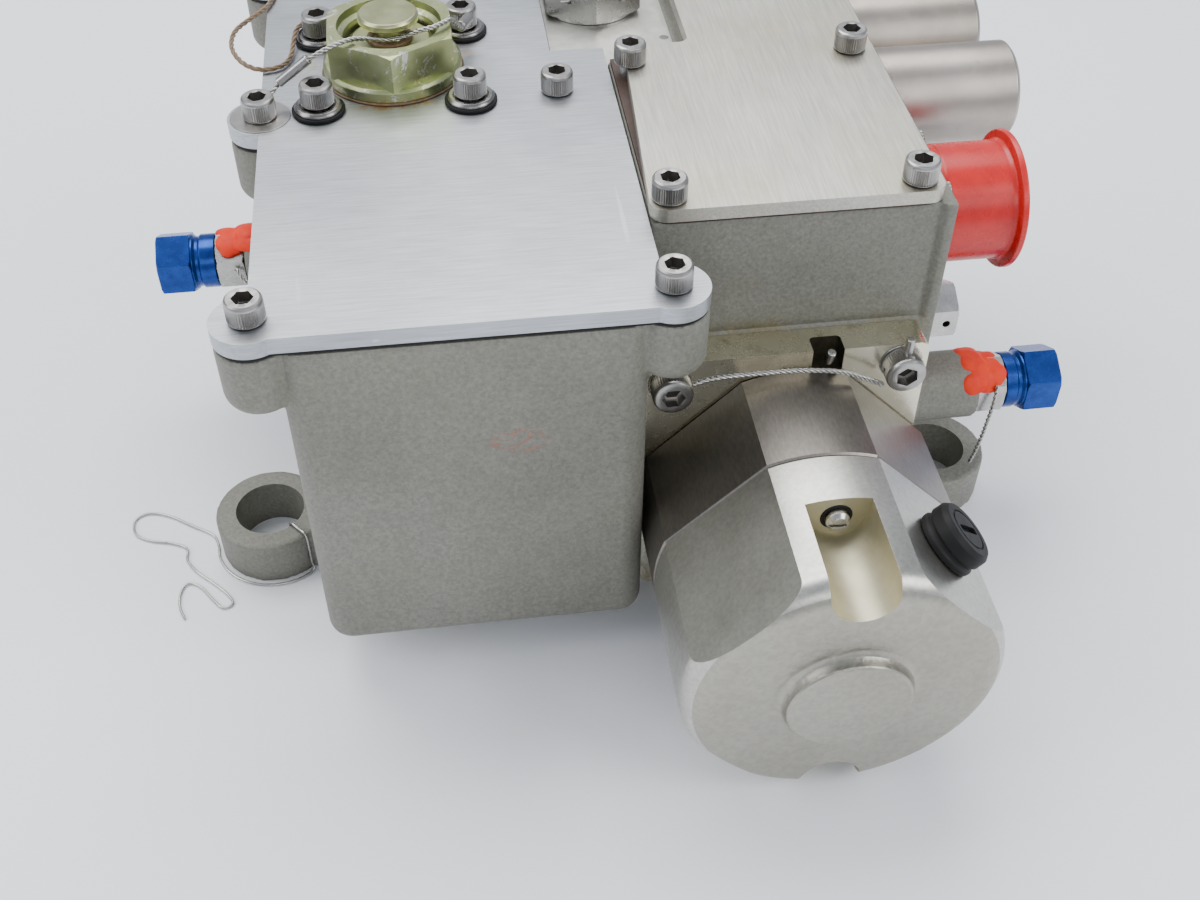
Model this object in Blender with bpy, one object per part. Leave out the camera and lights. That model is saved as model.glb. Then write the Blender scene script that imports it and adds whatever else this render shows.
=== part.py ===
"""Electric-motor-driven hydraulic power unit.

A cast oil reservoir, a valve manifold with two solenoids and a gear pump, and a flange-mounted
electric motor. Metres, +Z up, +Y to the back. The origin is at the middle of the base, on the
surface that the three mounting lugs stand on. The motor's end bell faces -Y.
"""

import math

import bmesh
import bpy
from mathutils import Matrix, Vector

MM = 0.001
GAP = 0.3 * MM
ROUND = 24
SMALL_ROUND = 12
RIGHT = Vector((1, 0, 0))
LEFT = Vector((-1, 0, 0))
BACK = Vector((0, 1, 0))
FRONT = Vector((0, -1, 0))
UP = Vector((0, 0, 1))
DOWN = Vector((0, 0, -1))
UPRIGHT = Matrix.Rotation(math.radians(90), 4, "X")

# Reservoir: an open cast box under a flat cover.
TANK_X = (-91.4 * MM, 1.2 * MM)
TANK_Y = (-70.0 * MM, 122.0 * MM)
TANK_BOTTOM = 14.8 * MM
TANK_WALL = 5.0 * MM
TANK_CORNER = 6.0 * MM
COVER_X = (-96.7 * MM, 5.3 * MM)
COVER_BACK = 125.0 * MM
COVER_TOP = 132.5 * MM
COVER_THICK = 4.7 * MM
GASKET_THICK = 0.5 * MM
TANK_TOP = COVER_TOP - COVER_THICK - GASKET_THICK - 2 * GAP
NOTCH_X = -10.9 * MM
NOTCH_Y = 56.0 * MM
EAR_RADIUS = 9.4 * MM
EAR_DROP = 15.0 * MM
SCREW_PAD_HALF = 7.0 * MM
GASKET_PAD_HALF = 9.0 * MM
RESERVOIR_SCREWS = {
    "front_left": (-96.3 * MM, -62.0 * MM),
    "front_right": (7.2 * MM, -61.8 * MM),
    "mid_left": (-96.5 * MM, 29.0 * MM),
    "rear_left": (-96.3 * MM, 117.5 * MM),
    "mid_right": (-11.2 * MM, 33.0 * MM),
}

# Filler port on the reservoir cover.
FILLER_AT = (-58.2 * MM, 51.0 * MM)
FILLER_BASE_RADIUS = 18.2 * MM
FILLER_HEX_RADIUS = 20.6 * MM
FILLER_COLLAR = 4.0 * MM
FILLER_TOP = 147.5 * MM
FILLER_CUP_RADIUS = 15.2 * MM
FILLER_CUP_DEPTH = 9.0 * MM
FILLER_BORE_RADIUS = 7.0 * MM
FILLER_STEM_RADIUS = 13.0 * MM
FILLER_STEM_DROP = 12.0 * MM
FILLER_SCREW_X = (-80.0 * MM, -36.5 * MM)
FILLER_SCREW_Y = (30.0 * MM, 71.0 * MM)
WASHER_RADIUS = 6.9 * MM
WASHER_THICK = 2.2 * MM
KNOB_RADIUS = 8.8 * MM
KNOB_TOP = 151.0 * MM
KNOB_THICK = 3.0 * MM
KNOB_NECK_RADIUS = 4.0 * MM
PLUG_HEAD_RADIUS = 12.5 * MM
DIPSTICK_RADIUS = 1.6 * MM
DIPSTICK_END = 32.0 * MM

# Quarter-inch socket-head cap screws.
HEAD_RADIUS = 4.75 * MM
HEAD_HEIGHT = 6.35 * MM
SHANK_RADIUS = 3.17 * MM
SHANK_LENGTH = 15.0 * MM
SOCKET_RADIUS = 2.75 * MM
SOCKET_DEPTH = 3.2 * MM
HOLE_RADIUS = SHANK_RADIUS + GAP
HOLE_DEPTH = SHANK_LENGTH + 1.0 * MM

# Valve manifold, pump casting and their cover.
BLOCK_X = (2.3 * MM, 88.0 * MM)
BLOCK_FRONT = -35.0 * MM
BLOCK_BACK = 118.0 * MM
BLOCK_BOTTOM = 10.0 * MM
PUMP_BACK = 90.0 * MM
STEP_Z = 60.0 * MM
STRIP_X = 88.5 * MM
STRIP_BOTTOM = 72.0 * MM
STRIP_FRONT = -36.5 * MM
PUMP_FRONT = -36.7 * MM
PUMP_TOP = 92.5 * MM
RECESS_FLOOR = 128.0 * MM
RECESS_X = (-10.6 * MM, 30.4 * MM)
RECESS_Y = 49.0 * MM
LID_X = (5.7 * MM, 84.8 * MM)
LID_Y = (-36.5 * MM, 118.0 * MM)
LID_TOP = 136.7 * MM
LID_THICK = 3.9 * MM
LID_CORNER = 4.5 * MM
BLOCK_TOP = LID_TOP - LID_THICK - GASKET_THICK - 2 * GAP
MANIFOLD_SCREWS = {
    "front_left": (11.1 * MM, -31.0 * MM),
    "front_right": (78.2 * MM, -31.0 * MM),
    "back_right": (77.4 * MM, 38.9 * MM),
    "back_left": (11.1 * MM, 38.9 * MM),
}
RECESS_PLUG_AT = (6.0 * MM, 93.0 * MM)
RECESS_PLUG_RADIUS = 17.5 * MM
RECESS_PLUG_TOP = 139.0 * MM
RECESS_PLUG_STEM_RADIUS = 10.0 * MM
RECESS_PLUG_STEM = 12.0 * MM
RECESS_PLUG_HOLE_DEPTH = 16.0 * MM
RECESS_PLUG_FOOT_RADIUS = 15.0 * MM
RECESS_PLUG_DISH_RADIUS = 10.5 * MM
RECESS_PLUG_DISH_DEPTH = 5.0 * MM
SIDE_PLUG_AT = (-25.0 * MM, 87.0 * MM)
SIDE_PLUG_RADIUS = 8.8 * MM
SIDE_PLUG_LENGTH = 8.5 * MM
SIDE_PLUG_STEM = 9.0 * MM
SIDE_PLUG_HOLE_DEPTH = 12.0 * MM
WIRE_HOLE_RADIUS = 1.2 * MM

# Mounting lugs: vertical bores, flat on the surface.
LUG_HOLE = 10.8 * MM
LUG_RADIUS = 17.3 * MM
LUG_TOP = 16.0 * MM
LEFT_LUG = (-110.8 * MM, -13.0 * MM)
RIGHT_LUG = (108.0 * MM, -12.5 * MM)
REAR_LUG = (40.0 * MM, 113.2 * MM)
ARM_HALF = 13.0 * MM
ARM_TOP = 24.0 * MM
RIB_LENGTH = 9.0 * MM

# Motor: its axis runs along Y.
MOTOR_X = 45.6 * MM
MOTOR_Z = 44.0 * MM
MOTOR_RADIUS = 43.7 * MM
MOTOR_FLAT = 39.6 * MM
FLANGE_Y = (-47.0 * MM, -37.0 * MM)
FLANGE_X = (4.0 * MM, 84.0 * MM)
FLANGE_Z = (2.0 * MM, 93.5 * MM)
FLANGE_SLOT_X = (50.0 * MM, 59.5 * MM)
FLANGE_SLOT_DEPTH = 5.0 * MM
FLANGE_SCREWS = {"left": (10.5 * MM, 86.5 * MM), "right": (76.2 * MM, 87.0 * MM)}
SPIGOT_RADIUS = 16.0 * MM
SEAM_Y = -81.3 * MM
BELL_FRONT = -127.4 * MM
BELL_ROUNDING = 7.0 * MM
BOSS_RADIUS = 17.0 * MM
BOSS_FRONT = -130.5 * MM
POCKET_HALF = 8.9 * MM
POCKET_BACK = -97.0 * MM
POCKET_FLOOR = 31.0 * MM
BELL_SCREW_OFFSET = 37.0 * MM
BELL_SCREW_RADIUS = 3.0 * MM
BELL_SCREW_HEIGHT = 3.2 * MM
BELL_SCREW_SHANK = 4.0 * MM
BELL_SCREW_SLOT = 0.8 * MM
STATOR_RADIUS = 36.0 * MM
ROTOR_RADIUS = 21.0 * MM
STACK_Y = (-92.0 * MM, -56.0 * MM)
SHAFT_RADIUS = 5.0 * MM
BEARING_RADIUS = 11.0 * MM
BEARING_WIDTH = 7.0 * MM
PLUG_Y = -103.0 * MM
PLUG_RADIUS = 9.5 * MM
PLUG_HEIGHT = 8.0 * MM
PLUG_ANGLE = math.radians(45)

# Gear pump: two equal gears side by side, in mesh.
GEAR_TEETH = 10
GEAR_PITCH_RADIUS = 11.0 * MM
GEAR_OUTER = 12.8 * MM
GEAR_ROOT = 8.9 * MM
GEAR_Y = (-36.0 * MM, -22.0 * MM)
GEAR_BORE = 5.3 * MM
PUMP_SHAFT_END = 10.0 * MM

# Solenoids, electrical connector and hydraulic ports.
SOLENOID_Z = 106.0 * MM
SOLENOID_Y = {"front": 60.0 * MM, "rear": 100.0 * MM}
SOLENOID_END = 139.0 * MM
SOLENOID_RADIUS = 16.0 * MM
SOLENOID_WALL = 1.5 * MM
COIL_INNER = 7.0 * MM
COIL_LENGTH = 32.0 * MM
PLUNGER_RADIUS = 6.5 * MM
PLUNGER_LENGTH = 26.0 * MM
SPOOL_RADIUS = 3.0 * MM
SPOOL_DEPTH = 20.0 * MM
SPOOL_END_ROOM = 6.0 * MM
SPRING_RADIUS = 4.6 * MM
SPRING_WIRE = 0.9 * MM
SPRING_TURNS = 4
CONNECTOR_AT = (1.6 * MM, 105.0 * MM)
CONNECTOR_FLANGE_HALF = 17.0 * MM
CONNECTOR_FLANGE_THICK = 3.5 * MM
CONNECTOR_RADIUS = 15.2 * MM
CONNECTOR_END = 113.0 * MM
CONNECTOR_WALL = 1.6 * MM
INSERT_LENGTH = 9.0 * MM
PIN_COUNT = 8
PIN_CIRCLE = 8.5 * MM
PIN_RADIUS = 0.8 * MM
PIN_LENGTH = 7.0 * MM
CAP_START = 93.2 * MM
CAP_END = 119.0 * MM
CAP_RADIUS = 17.5 * MM
CAP_RIM_RADIUS = 20.5 * MM
CAP_RIM_LENGTH = 2.6 * MM
RIGHT_PORT_AT = (-12.5 * MM, 44.0 * MM)
LEFT_PORT_AT = (64.0 * MM, 58.5 * MM)
PORT_BOSS_RADIUS = 11.0 * MM
RIGHT_BOSS_END = 115.5 * MM
LEFT_BOSS_END = -114.0 * MM
FITTING_STEM_RADIUS = 5.0 * MM
FITTING_HEX_RADIUS = 10.0 * MM
FITTING_HEX_LENGTH = 9.0 * MM
FITTING_NOSE_RADIUS = 5.5 * MM
FITTING_NOSE_LENGTH = 12.0 * MM
FITTING_STEM_LENGTH = 11.0 * MM
PORT_BORE_DEPTH = 20.0 * MM
BLUE_SKIRT_RADIUS = 9.0 * MM
BLUE_HEX_RADIUS = 10.9 * MM
BLUE_HEX_LENGTH = 11.0 * MM
PART_END = 142.5 * MM

# Wires and cords.
CABLE_DIAMETER = 1.6 * MM
WIRE_DIAMETER = 0.8 * MM
WIRE_LOW = 0.6 * MM
WIRE_FOOT_RADIUS = 19.0 * MM
WIRE_FOOT_ANGLES = (-62, -76, -90, -105, -120, -135, -150, -165, -180)
CORD_DIAMETER = 1.6 * MM

COVER_GREY = (0.62, 0.63, 0.64)
LID_GREY = (0.66, 0.64, 0.58)
CAST_GREY = (0.42, 0.42, 0.38)
BELL_GREY = (0.62, 0.61, 0.57)
STEEL = (0.55, 0.54, 0.52)
DARK_STEEL = (0.24, 0.22, 0.20)
CANISTER_BROWN = (0.38, 0.33, 0.29)
CHROMATE = (0.48, 0.50, 0.26)
FLANGE_GOLD = (0.62, 0.60, 0.46)
RED = (0.62, 0.02, 0.03)
BLUE = (0.01, 0.06, 0.30)
BLACK = (0.02, 0.02, 0.02)
COPPER = (0.55, 0.25, 0.12)
BROWN = (0.16, 0.10, 0.05)


def clear_scene():
    for item in list(bpy.data.objects):
        bpy.data.objects.remove(item, do_unlink=True)


def material(name, colour, roughness, metallic):
    found = bpy.data.materials.get(name)
    if found:
        return found
    made = bpy.data.materials.new(name)
    made.use_nodes = True
    shader = made.node_tree.nodes["Principled BSDF"]
    shader.inputs["Base Color"].default_value = (*colour, 1.0)
    shader.inputs["Roughness"].default_value = roughness
    shader.inputs["Metallic"].default_value = metallic
    return made


def add_object(name, mesh):
    item = bpy.data.objects.new(name, mesh)
    bpy.context.scene.collection.objects.link(item)
    return item


def finish(item, look, smooth_angle=30):
    """Give a finished piece its material and smooth shading with sharp edges kept."""
    item.data.materials.clear()
    item.data.materials.append(look)
    item.data.shade_smooth()
    item.data.set_sharp_from_angle(angle=math.radians(smooth_angle))
    return item


def mesh_from(name, builder):
    """A mesh of the faces that builder(bm) makes, all facing out."""
    bm = bmesh.new()
    builder(bm)
    bmesh.ops.recalc_face_normals(bm, faces=bm.faces)
    mesh = bpy.data.meshes.new(name)
    bm.to_mesh(mesh)
    bm.free()
    return mesh


def prism_mesh(name, outline, low, high):
    """A closed prism: the (x, y) outline from z low to z high."""

    def build(bm):
        bottom = [bm.verts.new((x, y, low)) for x, y in outline]
        top = [bm.verts.new((x, y, high)) for x, y in outline]
        bm.faces.new(bottom)
        bm.faces.new(top)
        for i, vert in enumerate(bottom):
            after = (i + 1) % len(outline)
            bm.faces.new((vert, bottom[after], top[after], top[i]))

    return mesh_from(name, build)


def turned_mesh(name, profile, sides=ROUND, hollow=False, turn=0.0):
    """A body turned round its own Z axis from (radius, height) points; a hollow profile is a loop."""

    def build(bm):
        rings = []
        for radius, height in profile:
            if radius < 1e-7:
                rings.append([bm.verts.new((0, 0, height))])
                continue
            angles = [turn + 2 * math.pi * i / sides for i in range(sides)]
            rings.append([bm.verts.new((radius * math.cos(a), radius * math.sin(a), height)) for a in angles])
        pairs = list(zip(rings, rings[1:]))
        if hollow:
            pairs.append((rings[-1], rings[0]))
        for low, high in pairs:
            for i in range(sides):
                after = (i + 1) % sides
                corners = [low[i % len(low)], low[after % len(low)]]
                corners += [high[after % len(high)], high[i % len(high)]]
                bm.faces.new(list(dict.fromkeys(corners)))

    return mesh_from(name, build)


def place(item, at, axis=UP):
    """Put the piece's own origin at a point, its own Z axis along axis."""
    item.location = at
    item.rotation_mode = "QUATERNION"
    item.rotation_quaternion = Vector(axis).to_track_quat("Z", "Y")
    return item


def turned(name, profile, at, axis=UP, sides=ROUND, hollow=False, turn=0.0):
    return place(add_object(name, turned_mesh(name, profile, sides, hollow, turn)), at, axis)


def rod(at, axis, radius, length, sides=ROUND, turn=0.0):
    """A plain round or many-sided bar that starts at a point, for joining or cutting."""
    profile = ((0, 0), (radius, 0), (radius, length), (0, length))
    return turned("tool", profile, at, axis, sides, turn=turn)


def hex_bar(at, axis, radius, length):
    """A six-sided bar that starts at a point, radius to its corners."""
    return rod(at, axis, radius, length, 6, math.radians(30))


def block(x, y, z):
    """A plain box between pairs of limits, for joining or cutting."""
    outline = ((x[0], y[0]), (x[1], y[0]), (x[1], y[1]), (x[0], y[1]))
    return add_object("tool", prism_mesh("tool", outline, z[0], z[1]))


def combine(target, tool, operation):
    """Join the tool on or cut it out, bake the result into the target, and drop the tool."""
    modifier = target.modifiers.new(operation, "BOOLEAN")
    modifier.operation = operation
    modifier.object = tool
    # Many of the joined shapes share a plane, where the EXACT solver leaves open edges.
    modifier.solver = "MANIFOLD"
    bpy.context.view_layer.update()
    graph = bpy.context.evaluated_depsgraph_get()
    mesh = bpy.data.meshes.new_from_object(target.evaluated_get(graph))
    target.modifiers.clear()
    target.data = mesh
    bpy.data.objects.remove(tool, do_unlink=True)


def join(target, *tools):
    for tool in tools:
        combine(target, tool, "UNION")


def cut(target, *tools):
    for tool in tools:
        combine(target, tool, "DIFFERENCE")


def rounded_outline(x, y, radius, steps=4):
    """Corner-rounded rectangle between pairs of limits, anticlockwise."""
    centres = (
        (x[1] - radius, y[0] + radius, -90),
        (x[1] - radius, y[1] - radius, 0),
        (x[0] + radius, y[1] - radius, 90),
        (x[0] + radius, y[0] + radius, 180),
    )
    points = []
    for cx, cy, start in centres:
        for i in range(steps + 1):
            angle = math.radians(start + 90 * i / steps)
            points.append((cx + radius * math.cos(angle), cy + radius * math.sin(angle)))
    return points


def screw_mesh():
    """A socket-head cap screw with the underside of its head at its own origin."""
    profile = (
        (0, -SHANK_LENGTH),
        (SHANK_RADIUS, -SHANK_LENGTH),
        (SHANK_RADIUS, 0),
        (HEAD_RADIUS, 0),
        (HEAD_RADIUS, HEAD_HEIGHT),
        (0, HEAD_HEIGHT),
    )
    item = turned("screw", profile, (0, 0, 0), sides=SMALL_ROUND)
    cut(item, rod((0, 0, HEAD_HEIGHT - SOCKET_DEPTH), UP, SOCKET_RADIUS, SOCKET_DEPTH * 2, 6))
    mesh = item.data
    bpy.data.objects.remove(item, do_unlink=True)
    return mesh


def add_screw(name, mesh, at, axis=UP):
    return finish(place(add_object(name, mesh), at, axis), material("steel", STEEL, 0.3, 1.0))


# ---------------------------------------------------------------- reservoir


def cover_outline_pieces(low, high, margin):
    """The reservoir's plan as one solid: a plate with a notch, and an ear at each edge screw."""
    plate = add_object(
        "plate",
        prism_mesh(
            "plate",
            rounded_outline((COVER_X[0] + margin, COVER_X[1] - margin), (TANK_Y[0], COVER_BACK), 3 * MM),
            low,
            high,
        ),
    )
    for name, (x, y) in RESERVOIR_SCREWS.items():
        if name != "mid_right":
            join(plate, rod((x, y, low), UP, EAR_RADIUS, high - low))
    cut(plate, block((NOTCH_X, 1.0), (NOTCH_Y, 1.0), (low - MM, high + MM)))
    return plate


def add_reservoir_cover():
    item = cover_outline_pieces(COVER_TOP - COVER_THICK, COVER_TOP, 0)
    item.name = "reservoir_cover"
    low = COVER_TOP - COVER_THICK - MM
    for x, y in RESERVOIR_SCREWS.values():
        cut(item, rod((x, y, low), UP, HOLE_RADIUS, COVER_THICK * 2, SMALL_ROUND))
    for x in FILLER_SCREW_X:
        for y in FILLER_SCREW_Y:
            cut(item, rod((x, y, low), UP, HOLE_RADIUS, COVER_THICK * 2, SMALL_ROUND))
    cut(item, rod((*FILLER_AT, low), UP, FILLER_STEM_RADIUS + GAP, COVER_THICK * 2))
    return finish(item, material("cover", COVER_GREY, 0.4, 1.0))


def inner_space(x, y, low, high):
    """The reservoir's inside, with its own notch at the right rear."""
    space = block(x, y, (low, high))
    cut(space, block((NOTCH_X - TANK_WALL - MM, 1.0), (NOTCH_Y - TANK_WALL, 1.0), (low - MM, high + MM)))
    return space


def add_reservoir_gasket():
    low = TANK_TOP + GAP
    high = low + GASKET_THICK
    item = cover_outline_pieces(low, high, 3 * MM)
    item.name = "reservoir_gasket"
    for x, y in RESERVOIR_SCREWS.values():
        cut(item, rod((x, y, low - MM), UP, HOLE_RADIUS, 3 * MM, SMALL_ROUND))
    x = (TANK_X[0] + TANK_WALL, TANK_X[1] - TANK_WALL - MM)
    y = (TANK_Y[0] + TANK_WALL, TANK_Y[1] - TANK_WALL)
    cut(item, inner_gasket_space(x, y, low - MM, high + MM))
    return finish(item, material("gasket", BLACK, 0.8, 0.0))


def inner_gasket_space(x, y, low, high):
    """The gasket's opening: the reservoir's inside, less a pad round the inboard screw."""
    space = inner_space(x, y, low, high)
    sx, sy = RESERVOIR_SCREWS["mid_right"]
    pad = GASKET_PAD_HALF
    cut(space, block((sx - pad, 1.0), (sy - pad, sy + pad), (low - MM, high + MM)))
    return space


def add_reservoir_tank():
    outline = rounded_outline(TANK_X, TANK_Y, TANK_CORNER)
    item = add_object("reservoir_tank", prism_mesh("tank", outline, TANK_BOTTOM, TANK_TOP))
    low = TANK_TOP - EAR_DROP
    for name, (x, y) in RESERVOIR_SCREWS.items():
        if name == "mid_right":
            continue
        bulge = [(0, low - EAR_RADIUS * 0.55)]
        bulge += [
            (EAR_RADIUS * math.sin(a), low - EAR_RADIUS * 0.55 * math.cos(a))
            for a in (math.radians(30), math.radians(60))
        ]
        bulge += [(EAR_RADIUS, low), (EAR_RADIUS, TANK_TOP), (0, TANK_TOP)]
        join(item, turned("tool", bulge, (x, y, 0)))
    join(item, lug(LEFT_LUG, (LEFT_LUG[0], TANK_X[0] + TANK_WALL / 2), True))
    port_length = TANK_X[0] - LEFT_BOSS_END
    join(item, rod((TANK_X[0] + MM, *LEFT_PORT_AT), LEFT, PORT_BOSS_RADIUS, port_length + MM, 24))
    cut(item, block((NOTCH_X - MM, 1.0), (NOTCH_Y - MM, 1.0), (0, 1.0)))
    x = (TANK_X[0] + TANK_WALL, TANK_X[1] - TANK_WALL)
    y = (TANK_Y[0] + TANK_WALL, TANK_Y[1] - TANK_WALL)
    space = inner_space(x, y, TANK_BOTTOM + TANK_WALL, TANK_TOP + MM)
    sx, sy = RESERVOIR_SCREWS["mid_right"]
    pad = SCREW_PAD_HALF
    cut(space, block((sx - pad, 1.0), (sy - pad, sy + pad), (0, 1.0)))
    cut(item, space)
    for sx, sy in RESERVOIR_SCREWS.values():
        cut(item, rod((sx, sy, TANK_TOP - HOLE_DEPTH), UP, HOLE_RADIUS, HOLE_DEPTH * 2, SMALL_ROUND))
    bore_start = (LEFT_BOSS_END - MM, *LEFT_PORT_AT)
    cut(item, rod(bore_start, RIGHT, FITTING_STEM_RADIUS + GAP, port_length + TANK_WALL * 2, SMALL_ROUND))
    return finish(item, material("casting", CAST_GREY, 0.65, 0.6))


def lug(centre, reach, along_x):
    """A standing ring with its arm: reach is where the arm starts and ends."""
    ring = rod((*centre, 0), UP, LUG_RADIUS, LUG_TOP)
    root = sorted((reach[1], reach[1] + math.copysign(RIB_LENGTH, reach[0] - reach[1])))
    if along_x:
        side = (centre[1] - ARM_HALF, centre[1] + ARM_HALF)
        arm = block(sorted(reach), side, (0, LUG_TOP))
        rib = block(root, side, (MM, ARM_TOP))
    else:
        side = (centre[0] - ARM_HALF, centre[0] + ARM_HALF)
        arm = block(side, sorted(reach), (0, LUG_TOP))
        rib = block(side, root, (MM, ARM_TOP))
    join(ring, arm, rib)
    cut(ring, rod((*centre, -MM), UP, LUG_HOLE, LUG_TOP + 2 * ARM_TOP))
    return ring


# ------------------------------------------------------------------- filler


def add_filler(screw):
    low = COVER_TOP + GAP
    collar = low + FILLER_COLLAR
    neck = turned(
        "filler_neck",
        (
            (0, COVER_TOP - FILLER_STEM_DROP),
            (FILLER_STEM_RADIUS, COVER_TOP - FILLER_STEM_DROP),
            (FILLER_STEM_RADIUS, low),
            (FILLER_BASE_RADIUS, low),
            (FILLER_BASE_RADIUS, collar),
            (0, collar),
        ),
        (*FILLER_AT, 0),
    )
    join(neck, hex_bar((*FILLER_AT, collar - MM), UP, FILLER_HEX_RADIUS, FILLER_TOP - collar + MM))
    floor = FILLER_TOP - FILLER_CUP_DEPTH
    cut(neck, rod((*FILLER_AT, floor), UP, FILLER_CUP_RADIUS, FILLER_CUP_DEPTH * 2))
    cut(neck, rod((*FILLER_AT, 0), UP, FILLER_BORE_RADIUS, 1.0, 24))
    finish(neck, material("chromate", CHROMATE, 0.4, 0.8))
    number = 0
    for y in FILLER_SCREW_Y:
        for x in FILLER_SCREW_X:
            number += 1
            add_filler_washer(f"filler_washer_{number}", (x, y, low))
            add_screw(f"filler_screw_{number}", screw, (x, y, low + WASHER_THICK + GAP))
    add_filler_knob(floor)


def add_filler_washer(name, at):
    profile = (
        (HOLE_RADIUS, 0),
        (WASHER_RADIUS, 0),
        (WASHER_RADIUS, WASHER_THICK * 0.6),
        (WASHER_RADIUS * 0.86, WASHER_THICK),
        (HOLE_RADIUS, WASHER_THICK),
    )
    finish(turned(name, profile, at, sides=SMALL_ROUND, hollow=True), material("steel", STEEL, 0.3, 1.0))


def add_filler_knob(floor):
    """The knob, its neck, the seat that closes the port, and the dipstick, in one turned piece."""
    seat = floor + GAP
    profile = (
        (0, DIPSTICK_END),
        (DIPSTICK_RADIUS, DIPSTICK_END),
        (DIPSTICK_RADIUS, COVER_TOP - FILLER_STEM_DROP),
        (FILLER_BORE_RADIUS - GAP, COVER_TOP - FILLER_STEM_DROP + 2 * MM),
        (FILLER_BORE_RADIUS - GAP, seat),
        (PLUG_HEAD_RADIUS, seat),
        (PLUG_HEAD_RADIUS, seat + 4 * MM),
        (KNOB_NECK_RADIUS, seat + 4 * MM),
        (KNOB_NECK_RADIUS, KNOB_TOP - KNOB_THICK),
        (KNOB_RADIUS, KNOB_TOP - KNOB_THICK),
        (KNOB_RADIUS, KNOB_TOP - 0.4 * MM),
        (KNOB_RADIUS - 0.5 * MM, KNOB_TOP),
        (0, KNOB_TOP),
    )
    item = turned("filler_knob", profile, (*FILLER_AT, 0))
    finish(item, material("chromate", CHROMATE, 0.4, 0.8))


# ---------------------------------------------------------- manifold and pump


def side_extrusion(name, outline, front, back):
    """A prism along Y of an (x, z) outline."""
    item = add_object(name, prism_mesh(name, outline, 0, back - front))
    item.matrix_world = Matrix.Translation((0, back, 0)) @ UPRIGHT
    return item


def add_manifold_block():
    outline = (
        (BLOCK_X[0], BLOCK_BOTTOM),
        (BLOCK_X[1], BLOCK_BOTTOM),
        (BLOCK_X[1], STRIP_BOTTOM),
        (STRIP_X, STRIP_BOTTOM),
        (STRIP_X, BLOCK_TOP),
        (LID_X[0], BLOCK_TOP),
        (LID_X[0], TANK_TOP),
        (BLOCK_X[0], TANK_TOP),
    )
    item = side_extrusion("manifold_block", outline, BLOCK_FRONT, BLOCK_BACK)
    cut(item, block((-1.0, 1.0), (PUMP_BACK, 1.0), (-1.0, STEP_Z)))
    join(
        item,
        block((BLOCK_X[0] + MM, BLOCK_X[1] - MM), (PUMP_FRONT, 0), (BLOCK_BOTTOM + MM, PUMP_TOP)),
        block((BLOCK_X[1] - 3 * MM, STRIP_X - MM / 4), (STRIP_FRONT, 0), (STRIP_BOTTOM + MM, BLOCK_TOP - MM)),
        block(
            (RECESS_X[0], BLOCK_X[0] + 5 * MM),
            (NOTCH_Y + MM, BLOCK_BACK - MM),
            (STEP_Z + MM, RECESS_FLOOR + MM),
        ),
        lug(RIGHT_LUG, (RIGHT_LUG[0], BLOCK_X[1] - TANK_WALL), True),
        lug(REAR_LUG, (REAR_LUG[1], PUMP_BACK - TANK_WALL), False),
    )
    boss_length = RIGHT_BOSS_END - BLOCK_X[1]
    join(item, rod((BLOCK_X[1] - MM, *RIGHT_PORT_AT), RIGHT, PORT_BOSS_RADIUS, boss_length + MM, 24))
    cut(item, block((-1.0, RECESS_X[1]), (RECESS_Y, 1.0), (RECESS_FLOOR, 1.0)))
    for x, y in MANIFOLD_SCREWS.values():
        cut(item, rod((x, y, BLOCK_TOP - HOLE_DEPTH), UP, HOLE_RADIUS, HOLE_DEPTH * 2, SMALL_ROUND))
    for x, z in FLANGE_SCREWS.values():
        cut(item, rod((x, PUMP_FRONT - MM, z), BACK, HOLE_RADIUS, HOLE_DEPTH, SMALL_ROUND))
    for y in SOLENOID_Y.values():
        spool_bore = SPOOL_DEPTH + SPOOL_END_ROOM
        cut(item, rod((STRIP_X + MM, y, SOLENOID_Z), LEFT, SPOOL_RADIUS + GAP, spool_bore, SMALL_ROUND))
    stem_hole = FITTING_STEM_RADIUS + GAP
    cut(item, rod((RIGHT_BOSS_END + MM, *RIGHT_PORT_AT), LEFT, stem_hole, PORT_BORE_DEPTH, SMALL_ROUND))
    cut(item, rod((STRIP_X + MM, *SIDE_PLUG_AT), LEFT, stem_hole, SIDE_PLUG_HOLE_DEPTH, SMALL_ROUND))
    plug_hole = RECESS_PLUG_STEM_RADIUS + GAP
    cut(item, rod((*RECESS_PLUG_AT, RECESS_FLOOR + MM), DOWN, plug_hole, RECESS_PLUG_HOLE_DEPTH))
    cut(item, pump_cavity())
    return finish(item, material("casting", CAST_GREY, 0.65, 0.6))


def pump_cavity():
    """Two round gear pockets side by side, with a bore for each shaft behind them."""
    depth = GEAR_Y[1] + GAP - PUMP_FRONT
    cavity = rod((MOTOR_X, PUMP_FRONT - MM, MOTOR_Z), BACK, GEAR_OUTER + GAP, depth + MM)
    upper_z = MOTOR_Z + 2 * GEAR_PITCH_RADIUS
    join(cavity, rod((MOTOR_X, PUMP_FRONT - MM, upper_z), BACK, GEAR_OUTER + GAP, depth + MM))
    for z in (MOTOR_Z, upper_z):
        bore = rod((MOTOR_X, PUMP_FRONT, z), BACK, SHAFT_RADIUS + GAP, PUMP_SHAFT_END + GAP - PUMP_FRONT, 24)
        join(cavity, bore)
    return cavity


def lid_plan(low, high):
    item = add_object("plan", prism_mesh("plan", rounded_outline(LID_X, LID_Y, LID_CORNER), low, high))
    cut(item, block((-1.0, RECESS_X[1]), (RECESS_Y, 1.0), (low - MM, high + MM)))
    for x, y in MANIFOLD_SCREWS.values():
        cut(item, rod((x, y, low - MM), UP, HOLE_RADIUS, LID_THICK * 2, SMALL_ROUND))
    return item


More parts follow.
